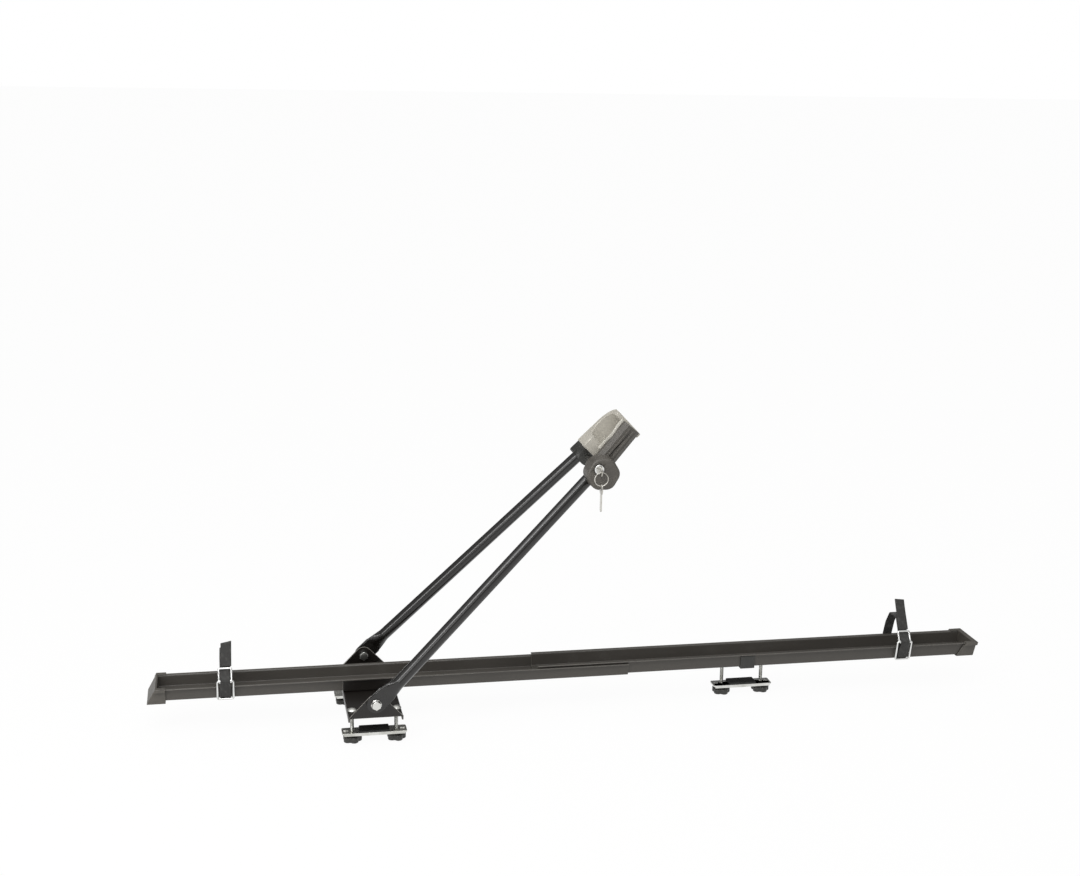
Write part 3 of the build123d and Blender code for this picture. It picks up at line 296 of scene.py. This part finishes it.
edgeWork = {  # the weld in metres, and angles in degrees
    "weld": 2e-6, "flatUnder": 0.6, "smoothUnder": 32, "roundOver": 40, "segments": 2,
}
dressed = {  # node: body, material slot, finish, painted highlight for the rounded edges, edge radius in mm
    "front_rail": ("root", "satin_black_paint", "railCoat", "railEdge", 0.3),
    "rear_rail": ("rear_section", "satin_black_paint", "railCoat", "railEdge", 0.3),
    "base_plate": ("root", "plate_black_paint", "plateCoat", "plateEdge", 0.45),
    "front_saddle": ("root", "plate_black_paint", "plateCoat", "plateEdge", 0.3),
    "near_arm": ("near_side", "gloss_black_paint", "armCoat", None, 0),
    "far_arm": ("arms", "gloss_black_paint", "armCoat", None, 0),
    "rear_saddle": ("rear_clamp", "black_moulding", "blackMoulding", None, 0.5),
    "front_end_cap": ("root", "dark_moulding", "darkMoulding", None, 0.6),
    "rear_end_cap": ("rear_section", "dark_moulding", "darkMoulding", None, 0.6),
    "near_jaw": ("near_side", "dark_moulding", "darkMoulding", None, 0.5),
    "near_jaw_liner": ("near_side", "pale_rubber", "paleRubber", None, 0.5),
    "far_jaw": ("arms", "pale_moulding", "paleMoulding", None, 0.8),
    "far_ferrule": ("arms", "black_moulding", "blackMoulding", None, 0.4),
    "head_knob": ("knob", "dark_moulding", "darkMoulding", None, 0),
    "head_bolt": ("arms", "bright_zinc", "zinc", None, 0),
    "head_nut": ("arms", "bright_zinc", "zinc", None, 0.3),
    "rail_nuts": ("root", "bright_zinc", "zinc", None, 0.3),
    "joint_nuts": ("root", "bright_zinc", "zinc", None, 0.3),
    "pivot_bolts": ("root", "bright_zinc", "zinc", None, 0),
    "pivot_nuts": ("root", "bright_zinc", "zinc", None, 0.35),
    "pivot_washers": ("root", "black_moulding", "blackMoulding", None, 0.15),
    "front_bar_pad": ("root", "dark_rubber", "darkRubber", None, 0.3),
    "lock_barrel": ("knob", "chrome_plate", "chrome", None, 0.2),
    "lock_plug": ("plug", "chrome_plate", "chrome", None, 0.15),
    "lock_key": ("plug", "chrome_plate", "nickel", None, 0.25),
    "spare_key": ("keys", "chrome_plate", "nickel", None, 0.25),
    "key_ring": ("keys", "chrome_plate", "nickel", None, 0),
    "front_buckle_frame": ("root", "chrome_plate", "chrome", None, 0),
    "front_buckle_lever": ("front_lever", "chrome_plate", "chrome", None, 0),
    "rear_buckle_frame": ("rear_section", "chrome_plate", "chrome", None, 0),
    "rear_buckle_lever": ("rear_lever", "chrome_plate", "chrome", None, 0),
}
for clamp in ("near", "far", "rear"):
    dressed[clamp + "_clamp_plate"] = (clamp + "_plate", "bright_zinc", "zinc", None, 0.35)
    dressed[clamp + "_clamp_pad"] = (clamp + "_plate", "dark_rubber", "darkRubber", None, 0)
    for end in ("front", "back"):
        dressed[clamp + "_clamp_knob_" + end] = (clamp + "_knob_" + end, "black_moulding",
                                                 "blackMoulding", None, 0)


def dressNode(node, body, slotName, finish, edgeHighlight, edgeRadius):
    # A merged copy of the CAD node, with its sharp edges rounded and its curves shaded smooth
    words = node.split("_")
    name = words[0] + "".join(w.capitalize() for w in words[1:])
    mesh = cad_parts[node].data.copy()
    mesh.name = name
    shape = bmesh.new()
    shape.from_mesh(mesh)
    bmesh.ops.remove_doubles(shape, verts=shape.verts, dist=edgeWork["weld"])
    if edgeRadius:
        bmesh.ops.dissolve_limit(shape, angle_limit=radians(edgeWork["flatUnder"]),
                                 verts=shape.verts, edges=shape.edges)
    shape.to_mesh(mesh)
    shape.free()
    mesh.materials.clear()
    mesh.materials.append(finishes[finish])
    # The second slot holds the painted highlight for the rounded edges, where one is given
    mesh.materials.append(finishes[edgeHighlight or finish])
    softShade(mesh, edgeWork["smoothUnder"])
    piece = newObject(name, mesh)
    if edgeRadius:
        rounding = piece.modifiers.new("edges", "BEVEL")
        rounding.width = edgeRadius * mm
        rounding.segments = edgeWork["segments"]
        rounding.limit_method = "ANGLE"
        rounding.angle_limit = radians(edgeWork["roundOver"])
        rounding.use_clamp_overlap = False
        rounding.material = 1  # the slot of the painted edge highlight
    # Large flat faces set the shading of the rounded edges beside them
    piece.modifiers.new("normals", "WEIGHTED_NORMAL").keep_sharp = True
    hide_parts(node)
    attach(piece, body)


for node, choices in dressed.items():
    dressNode(node, *choices)
print("CAD nodes dressed:", len(dressed))


# Bolts with domed heads and rolled threads, repeated with Geometry Nodes

boltShape = {  # in mm, then counts of rings, sides and steps, and the shading angle in degrees
    "radius": 3.0, "coreRadius": 2.6, "pitch": 1.0, "crestShare": 0.43,
    "headRadius": 8.0, "headHeight": 3.4, "edgeInset": 0.25, "edgeDrop": 0.02,
    "plainNeck": 2.0, "neckTaper": 0.3,
    "domeRings": 10, "headFacets": 40, "coreFacets": 28, "ridgeCorners": 4, "turnSteps": 14,
    "smoothUnder": 40,
}
headFinder = {"depth": 1e-5, "digits": 4}  # how near the top in metres, and rounding to 0.1 mm
boltSets = {  # piece: CAD nodes and body
    "railBolts": (["rail_bolts"], "root"),
    "jointBolts": (["joint_bolts"], "root"),
    "nearClampBolts": (["near_clamp_bolts", "far_clamp_bolts"], "root"),
    "rearClampBolts": (["rear_clamp_bolts"], "rear_clamp"),
}


def domedHead():
    # Head seated at the origin, pointing up, with the plain neck below it
    reach = boltShape["headRadius"]
    rise = boltShape["headHeight"]
    neck = boltShape["plainNeck"]
    rings = boltShape["domeRings"]
    sphere = (reach ** 2 + rise ** 2) / (2 * rise)
    span = acos((sphere - rise) / sphere)
    profile = [(sphere * sin(span * i / rings), rise - sphere + sphere * cos(span * i / rings))
               for i in range(1, rings + 1)]
    profile += [(reach - boltShape["edgeInset"], -boltShape["edgeDrop"]), (boltShape["radius"], 0),
                (boltShape["radius"], -neck),
                (boltShape["coreRadius"], -neck - boltShape["neckTaper"])]
    count = boltShape["headFacets"]
    points = [Vector((r * cos(2 * pi * i / count), r * sin(2 * pi * i / count), z)) * mm
              for r, z in profile for i in range(count)]
    top = len(points)
    points.append(Vector((0, 0, rise * mm)))
    faces = [(a * count + i, (a + 1) * count + i, (a + 1) * count + (i + 1) % count,
              a * count + (i + 1) % count)
             for a in range(len(profile) - 1) for i in range(count)]
    faces += [(top, i, (i + 1) % count) for i in range(count)]
    last = (len(profile) - 1) * count
    faces.append([last + i for i in reversed(range(count))])
    mesh = meshFrom("domedHead", points, faces)
    softShade(mesh, boltShape["smoothUnder"])
    return newObject("domedHead", mesh)


def threadTree():
    # A head and a shank with a helical thread at each point of Places
    tree = bpy.data.node_groups.new("threadedBolts", "GeometryNodeTree")
    panel = tree.interface
    panel.new_socket("Places", in_out="INPUT", socket_type="NodeSocketGeometry")
    for socket in ("Thread length", "Pitch", "Core radius", "Thread start"):
        panel.new_socket(socket, in_out="INPUT", socket_type="NodeSocketFloat")
    panel.new_socket("Head", in_out="INPUT", socket_type="NodeSocketObject")
    panel.new_socket("Finish", in_out="INPUT", socket_type="NodeSocketMaterial")
    panel.new_socket("Bolts", in_out="OUTPUT", socket_type="NodeSocketGeometry")
    given = addNode(tree, "NodeGroupInput").outputs
    turns = addNode(tree, "ShaderNodeMath", {}, {0: given["Thread length"], 1: given["Pitch"]},
                    operation="DIVIDE")
    helix = addNode(tree, "GeometryNodeCurveSpiral", {"Resolution": boltShape["turnSteps"]},
                    {"Rotations": turns.outputs[0], "Start Radius": given["Core radius"],
                     "End Radius": given["Core radius"], "Height": given["Thread length"]})
    crest = addNode(tree, "ShaderNodeMath", {1: boltShape["crestShare"]}, {0: given["Pitch"]},
                    operation="MULTIPLY")
    ridge = addNode(tree, "GeometryNodeCurvePrimitiveCircle",
                    {"Resolution": boltShape["ridgeCorners"]}, {"Radius": crest.outputs[0]})
    upright = addNode(tree, "GeometryNodeSetCurveNormal", {}, {0: helix.outputs[0]}, mode="Z_UP")
    thread = addNode(tree, "GeometryNodeCurveToMesh", {"Fill Caps": True},
                     {"Curve": upright.outputs[0], "Profile Curve": ridge.outputs[0]})
    core = addNode(tree, "GeometryNodeMeshCylinder", {"Vertices": boltShape["coreFacets"]},
                   {"Radius": given["Core radius"], "Depth": given["Thread length"]})
    half = addNode(tree, "ShaderNodeMath", {1: 0.5}, {0: given["Thread length"]},
                   operation="MULTIPLY")
    lift = addNode(tree, "ShaderNodeCombineXYZ", {}, {"Z": half.outputs[0]})
    raised = addNode(tree, "GeometryNodeTransform", {},
                     {0: core.outputs[0], "Translation": lift.outputs[0]})
    shank = addNode(tree, "GeometryNodeJoinGeometry")
    tree.links.new(thread.outputs[0], shank.inputs[0])
    tree.links.new(raised.outputs[0], shank.inputs[0])
    sink = addNode(tree, "ShaderNodeMath", {},
                   {0: given["Thread length"], 1: given["Thread start"]}, operation="ADD")
    down = addNode(tree, "ShaderNodeMath", {1: -1}, {0: sink.outputs[0]}, operation="MULTIPLY")
    below = addNode(tree, "ShaderNodeCombineXYZ", {}, {"Z": down.outputs[0]})
    lowered = addNode(tree, "GeometryNodeTransform", {},
                      {0: shank.outputs[0], "Translation": below.outputs[0]})
    head = addNode(tree, "GeometryNodeObjectInfo", {}, {"Object": given["Head"]})
    whole = addNode(tree, "GeometryNodeJoinGeometry")
    tree.links.new(lowered.outputs[0], whole.inputs[0])
    tree.links.new(head.outputs["Geometry"], whole.inputs[0])
    copies = addNode(tree, "GeometryNodeInstanceOnPoints", {},
                     {"Points": given["Places"], "Instance": whole.outputs[0]})
    real = addNode(tree, "GeometryNodeRealizeInstances", {}, {0: copies.outputs[0]})
    painted = addNode(tree, "GeometryNodeSetMaterial", {},
                      {"Geometry": real.outputs[0], "Material": given["Finish"]})
    addNode(tree, "NodeGroupOutput", {}, {"Bolts": painted.outputs[0]})
    return tree


def socketNames(tree):
    return {item.name: item.identifier for item in tree.interface.items_tree
            if item.in_out == "INPUT"}


def domeBolts(name, nodes, body, tree, head):
    # Where the heads sit and how long the shanks are come from the CAD meshes of the bolts
    headHeight = boltShape["headHeight"] * mm
    seats = []
    length = 0
    for node in nodes:
        low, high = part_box(node)
        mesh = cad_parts[node].data
        digits = headFinder["digits"]
        tops = {(round(v.co.x, digits), round(v.co.y, digits)) for v in mesh.vertices
                if high.z - v.co.z < headFinder["depth"]}  # the top of each head, in X and Y
        seats += [(x, y, high.z - headHeight) for x, y in tops]
        length = high.z - low.z - headHeight
    start = boltShape["plainNeck"] * mm
    holder = newObject(name + "Places", meshFrom(name + "Places", sorted(seats), []))
    maker = holder.modifiers.new("bolts", "NODES")
    maker.node_group = tree
    sockets = socketNames(tree)
    for socket, value in (("Thread length", length - start), ("Pitch", boltShape["pitch"] * mm),
                          ("Core radius", boltShape["coreRadius"] * mm), ("Thread start", start),
                          ("Head", head), ("Finish", finishes["zinc"])):
        maker[sockets[socket]] = value
    piece = plainMesh(holder, name)
    softShade(piece.data, boltShape["smoothUnder"])
    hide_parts(*nodes)
    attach(piece, body)
    return len(seats)


boltTree = threadTree()
boltHead = domedHead()
boltCount = sum(domeBolts(name, nodes, body, boltTree, boltHead)
                for name, (nodes, body) in boltSets.items())
bpy.data.objects.remove(boltHead)
print("bolts made:", boltCount)


# Straps of flat webbing: each a closed loop, a free tail and a layer through its buckle.
# The shoulder is where the loop's sides bend in, and the crown is where they meet its flat top.

webbing = {  # in mm, with shares and counts as they are and the shading angle in degrees
    "width": 16.5, "thickness": 1.9, "selvedge": (0.5, 1.6, 0.8),  # two insets, and its thinning
    "play": 0.6, "railLip": 5.0, "shoulderHalf": 25.0, "shoulderHeight": 47.0, "crownHalf": 13.0,
    "bend": 5.0, "cornerSteps": 6, "longestRun": 4.0, "leanDrop": 6.0, "smoothUnder": 50,
    "tailRoot": 2.0, "tailGap": 0.12, "tailStep": 1.5, "tailRuns": 12,
    "tailLift": 5.6, "tailLiftFrom": 0.55,  # it grows with the square of the share past 0.55
    "layerShare": 0.8, "layerBend": 1.2, "layerRun": 1.5, "slack": 0.25,
    "pinchedWidth": 15.2, "pinchDrop": 3.0, "pinchFade": 5.0,
}
buckleShape = {  # in mm; solidStrap is the CAD strap's thickness, which the buckles go round
    "wire": 1.6, "sleeve": 2.9, "hingeRise": 11.0, "solidStrap": 2.0,
    # where the layer rounds the hinge, in degrees, and its directions from the top bar's middle
    "overHinge": (190, 165), "underBar": (0.94, -0.34), "pastBar": (0.86, 0.5),
}
strapPlaces = {  # node and body, then in mm its place in X and the rail's underside, width, height
    "frontStrap": ("front_strap", "root", -223.5, 6.5, 60.0, 20.0),
    "rearStrap": ("rear_strap", "rear_section", 895.0, 8.5, 56.0, 22.0),
}
strapLooks = {  # in mm: top over the rail's underside, tail past the crown, tip's slant, top's lean
    "frontStrap": {"top": 65.5, "tailRise": 18.0, "slant": 1.6, "lean": 0.6},
    "rearStrap": {"top": 66.0, "tailRise": 31.0, "slant": -1.0, "lean": 0.5},
}


def offsetCorners(corners, away, closed):
    # Corners of the same outline moved sideways by away, to the left of its direction of travel
    moved = []
    count = len(corners)
    for i, corner in enumerate(corners):
        before = corners[i - 1] if closed or i else None
        after = corners[(i + 1) % count] if closed or i < count - 1 else None
        first = (corner - before).normalized() if before else (after - corner).normalized()
        second = (after - corner).normalized() if after else first
        sideA = Vector((-first.y, first.x))
        sideB = Vector((-second.y, second.x))
        middle = (sideA + sideB).normalized()
        moved.append(corner + middle * (away / middle.dot(sideA)))
    return moved


def roundedPath(corners, radius, closed, longest):
    # Points along an outline whose corners are rounded, with no run much past the longest
    path = []
    count = len(corners)
    arcSteps = webbing["cornerSteps"]
    for i, corner in enumerate(corners):
        if not closed and i in (0, count - 1):
            path.append(corner)
            continue
        before = (corners[i - 1] - corner).normalized()
        after = (corners[(i + 1) % count] - corner).normalized()
        opening = acos(max(-1, min(1, before.dot(after))))
        reach = radius / tan(opening / 2)
        start = corner + before * reach
        end = corner + after * reach
        for step in range(arcSteps + 1):
            share = step / arcSteps
            chord = start.lerp(corner, share)
            path.append(chord.lerp(corner.lerp(end, share), share))
    full = []
    last = len(path) if closed else len(path) - 1
    for i in range(last):
        here, there = path[i], path[(i + 1) % len(path)]
        pieces = max(1, int((there - here).length / longest))
        full += [here.lerp(there, k / pieces) for k in range(pieces)]
    return full if closed else full + [path[-1]]


def band(path, closed, thickness, slant, place, lean, widths=None):
    # Flat band with rounded selvedges. Its path's points are (Y, Z) in mm, and its top leans in X
    half = webbing["width"] / 2
    edge = thickness / 2
    inset, flat, thin = webbing["selvedge"]
    low = edge * thin
    section = [(-half, 0), (-half + inset, low), (-half + flat, edge), (-half / 2, edge), (0, edge),
               (half / 2, edge), (half - flat, edge), (half - inset, low), (half, 0),
               (half - inset, -low), (half - flat, -edge), (0, -edge), (-half + flat, -edge),
               (-half + inset, -low)]
    leanFrom, leanTo, leanBy = lean
    points, marks, along = [], [], 0
    count = len(path)
    for i, here in enumerate(path):
        before = path[i - 1] if closed or i else here
        after = path[(i + 1) % count] if closed or i < count - 1 else here
        run = (after - before).normalized()
        side = Vector((-run.y, run.x))
        if i:
            along += (here - path[i - 1]).length
        share = widths[i] / webbing["width"] if widths else 1
        for x, rise in section:
            shift = slant * x / half if i == count - 1 and not closed else 0
            spot = here + side * rise + run * shift
            drift = leanBy * max(0, (spot.y - leanFrom) / (leanTo - leanFrom))
            points.append(Vector((place + x * share + drift, spot.x, spot.y)) * mm)
        marks.append(along)
    size = len(section)
    rings = count if closed else count - 1
    faces, uvs = [], []
    total = along + ((path[0] - path[-1]).length if closed else 0)
    for i in range(rings):
        j = (i + 1) % count
        far = marks[j] if j else total
        for k in range(size):
            n = (k + 1) % size
            faces.append((i * size + k, j * size + k, j * size + n, i * size + n))
            for mark, corner in ((marks[i], k), (far, k), (far, n), (marks[i], n)):
                uvs.append((mark * mm, (section[corner][0] + half) * mm))
    if not closed:  # caps at both ends
        faces.append(list(range(size)))
        uvs += [(0, (section[k][0] + half) * mm) for k in range(size)]
        faces.append([(count - 1) * size + k for k in reversed(range(size))])
        uvs += [(total * mm, (section[k][0] + half) * mm) for k in reversed(range(size))]
    return points, faces, uvs


def strapCorners(bottom, railWidth, railHeight, top):
    # Corners of the loop's inner face, from the near side's foot up over the crown and down again
    base = railWidth / 2 + webbing["play"]
    brim = base + webbing["railLip"]
    right = [Vector((base, bottom - webbing["play"])), Vector((brim, bottom + railHeight)),
             Vector((webbing["shoulderHalf"], bottom + webbing["shoulderHeight"])),
             Vector((webbing["crownHalf"], bottom + top))]
    return [Vector((-v.x, v.y)) for v in right] + list(reversed(right))


def tailPath(corners, thickness, rise):
    # The free end lies on the loop's near side and runs on past the crown, lifting away
    shoulder, crown = corners[2], corners[3]
    run = (crown - shoulder).normalized()
    line = offsetCorners([shoulder + run * webbing["tailRoot"], crown + run * rise],
                         thickness * 1.5 + webbing["tailGap"], False)  # to the middle of the tail
    lift = Vector((-run.y, run.x)) * webbing["tailLift"]
    shares = [i / webbing["tailRuns"] for i in range(webbing["tailRuns"] + 1)]
    return [line[0].lerp(line[1], share) + lift * max(0, share - webbing["tailLiftFrom"]) ** 2
            for share in shares]


def bucklePath(bottom, railWidth, railHeight, thickness):
    # The outer layer: up from the buckle's lower bar, over its hinge and under its top bar
    play, solid = webbing["play"], buckleShape["solidStrap"]
    wire, sleeve = buckleShape["wire"], buckleShape["sleeve"]
    gap = thickness / 2 + webbing["slack"]
    brim = railWidth / 2 + play + webbing["railLip"]
    hinge = Vector((-brim - solid - play - sleeve, bottom + railHeight + buckleShape["hingeRise"]))
    bar = Vector((-webbing["shoulderHalf"] - 2 * solid - play - wire,
                  bottom + webbing["shoulderHeight"] + wire))
    foot = Vector((-railWidth / 2 - play - solid - gap, bottom + wire + gap))
    over = [hinge + Vector((cos(radians(turn)), sin(radians(turn)))) * (sleeve + gap)
            for turn in buckleShape["overHinge"]]
    under, beyond = [bar + Vector(buckleShape[way]) * (wire + gap)
                     for way in ("underBar", "pastBar")]
    path = roundedPath([foot, *over, under, beyond], webbing["layerBend"], False,
                       webbing["layerRun"])
    return path, hinge.y


def makeStrap(name, looks, node, body, place, bottom, railWidth, railHeight):
    thickness = webbing["thickness"]
    layer = thickness * webbing["layerShare"]
    corners = strapCorners(bottom, railWidth, railHeight, looks["top"])
    lean = (bottom + webbing["shoulderHeight"] - webbing["leanDrop"], bottom + looks["top"],
            looks["lean"])
    loop = roundedPath(offsetCorners(corners, thickness / 2, True), webbing["bend"], True,
                       webbing["longestRun"])
    outer, hingeHeight = bucklePath(bottom, railWidth, railHeight, layer)
    spare = webbing["width"] - webbing["pinchedWidth"]
    pinch = [webbing["pinchedWidth"] + spare
             * min(1, max(0, (hingeHeight - webbing["pinchDrop"] - spot.y) / webbing["pinchFade"]))
             for spot in outer]  # full width below the hinge, pinched between the lever's wires
    points, faces, uvs = [], [], []
    for part in (band(loop, True, thickness, 0, place, lean),
                 band(tailPath(corners, thickness, looks["tailRise"]), False, thickness,
                      looks["slant"], place + webbing["tailStep"], lean),
                 band(outer, False, layer, 0, place, lean, pinch)):
        shift = len(points)
        points += part[0]
        faces += [[index + shift for index in face] for face in part[1]]
        uvs += part[2]
    mesh = meshFrom(name, points, faces)
    uvLayer = mesh.uv_layers.new(name="webbing")
    uvLayer.uv.foreach_set("vector", [c for uv in uvs for c in uv])
    mesh.materials.append(finishes["webbing"])
    softShade(mesh, webbing["smoothUnder"])
    shape = bmesh.new()
    shape.from_mesh(mesh)
    bmesh.ops.recalc_face_normals(shape, faces=shape.faces)
    shape.to_mesh(mesh)
    shape.free()
    piece = newObject(name, mesh)
    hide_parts(node)
    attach(piece, body)


for name, choices in strapPlaces.items():
    makeStrap(name, strapLooks[name], *choices)
print("straps made:", len(strapPlaces))


# Floor, lights and camera

backdrop = {"whiteShare": 0.96, "floorColour": "e9e8e6", "floorRoughness": 0.9, "gap": 0.0005,
            "reach": 40.0}  # in metres
roomGlow = {  # two values of the direction's Z or Y, then the light or the share of white there
    "above": (0.3, 0.95, 0.03, 0.88),
    "before": (0.2, -1.0, 0.0, 0.35),
    "horizon": (0.035, 0.07, 1.0, 0.0),
}
lampPlaces = {  # spot, target, length and width, power and the direction its length follows
    "skyPanel": ((-0.4, -1.0, 3.0), (0.3, 0.0, 0.15), (2.6, 2.0), 34, (1, 0, 0)),
    "frontPanel": ((-1.0, -3.4, 1.5), (0.3, 0.0, 0.1), (1.6, 1.2), 14, (1, 0, 0)),
    "armStrip": ((-0.96, -1.2, 1.38), (0.2, -0.1, 0.2), (2.4, 0.36), 19, (0.725, 0, 0.688)),
}
cameraSetup = {"place": (-0.2232, -2.4859, 0.9938), "right": (0.98122, -0.19211, 0.01702),
               "up": (0.02755, 0.22695, 0.97352), "forward": (0.19089, 0.95477, -0.22798),
               "lens": 55.07, "filmWidth": 36.0}


def whiteRays(tree, mirrorShare=None):
    # How white a ray sees things: 1 for the camera's, and for mirrored ones 1 or mirrorShare
    path = addNode(tree, "ShaderNodeLightPath").outputs
    mirrored = addNode(tree, "ShaderNodeMath", {},
                       {0: path["Is Glossy Ray"], 1: path["Is Transmission Ray"]},
                       operation="MAXIMUM")
    if mirrorShare:
        mirrored = addNode(tree, "ShaderNodeMath", {}, {0: mirrored.outputs[0], 1: mirrorShare},
                           operation="MULTIPLY")
    return addNode(tree, "ShaderNodeMath", {}, {0: path["Is Camera Ray"], 1: mirrored.outputs[0]},
                   operation="MAXIMUM")


def showWhite(tree, surface):
    # The floor is seen mostly white, and its real surface keeps a faint shadow in the rest
    white = addNode(tree, "ShaderNodeEmission", {"Color": linear("ffffff"), "Strength": 1.0})
    amount = addNode(tree, "ShaderNodeMath", {1: backdrop["whiteShare"]},
                     {0: whiteRays(tree).outputs[0]}, operation="MULTIPLY")
    return addNode(tree, "ShaderNodeMixShader", {},
                   {0: amount.outputs[0], 1: surface.outputs[0], 2: white.outputs[0]})


def stand(thing, spot, axes):
    # Places a lamp or the camera, which both look along their own -Z
    turn = Matrix([[axis[i] for axis in axes] for i in range(3)]).to_4x4()
    thing.matrix_world = Matrix.Translation(spot) @ turn


floorZ = cadBox[0].z - backdrop["gap"]
wide = backdrop["reach"]
floorMesh = meshFrom("floor", [(-wide, -wide, floorZ), (wide, -wide, floorZ),
                               (wide, wide, floorZ), (-wide, wide, floorZ)], [(0, 1, 2, 3)])
floor = newObject("floor", floorMesh)
floorPaint, floorTree = startMaterial("palePaintedFloor")  # matt floor paint, an even pale grey
floorLook = addNode(floorTree, "ShaderNodeBsdfPrincipled",
                    {"Base Color": linear(backdrop["floorColour"]),
                     "Roughness": backdrop["floorRoughness"]})
closeMaterial(floorTree, showWhite(floorTree, floorLook))
floorMesh.materials.append(floorPaint)

for name, (spot, target, size, power, length) in lampPlaces.items():
    lamp = bpy.data.lights.new(name, "AREA")
    lamp.shape = "RECTANGLE"
    lamp.size, lamp.size_y = size
    lamp.energy = power
    away = (Vector(spot) - Vector(target)).normalized()
    along = Vector(length)
    along = (along - away * along.dot(away)).normalized()
    stand(newObject(name, lamp), spot, (along, away.cross(along), away))

world = bpy.data.worlds.new("studio")
bpy.context.scene.world = world
world.use_nodes = True
sky = world.node_tree
sky.nodes.clear()
skyPlace = addNode(sky, "ShaderNodeTexCoord").outputs["Generated"]  # the direction looked in
facing = addNode(sky, "ShaderNodeSeparateXYZ", {}, {0: skyPlace})
above = addNode(sky, "ShaderNodeMapRange", dict(enumerate(roomGlow["above"], 1)),
                {"Value": facing.outputs[2]})
before = addNode(sky, "ShaderNodeMapRange", dict(enumerate(roomGlow["before"], 1)),
                 {"Value": facing.outputs[1]})
glow = addNode(sky, "ShaderNodeMath", {}, {0: above.outputs[0], 1: before.outputs[0]},
               operation="ADD")
nearHorizon = addNode(sky, "ShaderNodeMapRange", dict(enumerate(roomGlow["horizon"], 1)),
                      {"Value": facing.outputs[2]})  # mirrored rays see plain white below it
room = addNode(sky, "ShaderNodeBackground", {"Color": linear("ffffff")},
               {"Strength": glow.outputs[0]})
blank = addNode(sky, "ShaderNodeBackground", {"Color": linear("ffffff"), "Strength": 1.0})
whiteShare = whiteRays(sky, nearHorizon.outputs[0])
seen = addNode(sky, "ShaderNodeMixShader", {},
               {0: whiteShare.outputs[0], 1: room.outputs[0], 2: blank.outputs[0]})
addNode(sky, "ShaderNodeOutputWorld", {}, {"Surface": seen.outputs[0]})

lens = bpy.data.cameras.new("camera")
lens.sensor_fit = "HORIZONTAL"
lens.sensor_width = cameraSetup["filmWidth"]
lens.lens = cameraSetup["lens"]
camera = newObject("camera", lens)
stand(camera, cameraSetup["place"], (Vector(cameraSetup["right"]), Vector(cameraSetup["up"]),
                                     -Vector(cameraSetup["forward"])))
bpy.context.scene.camera = camera
bpy.context.scene.view_settings.view_transform = "Standard"
print("floor, lights and camera set")
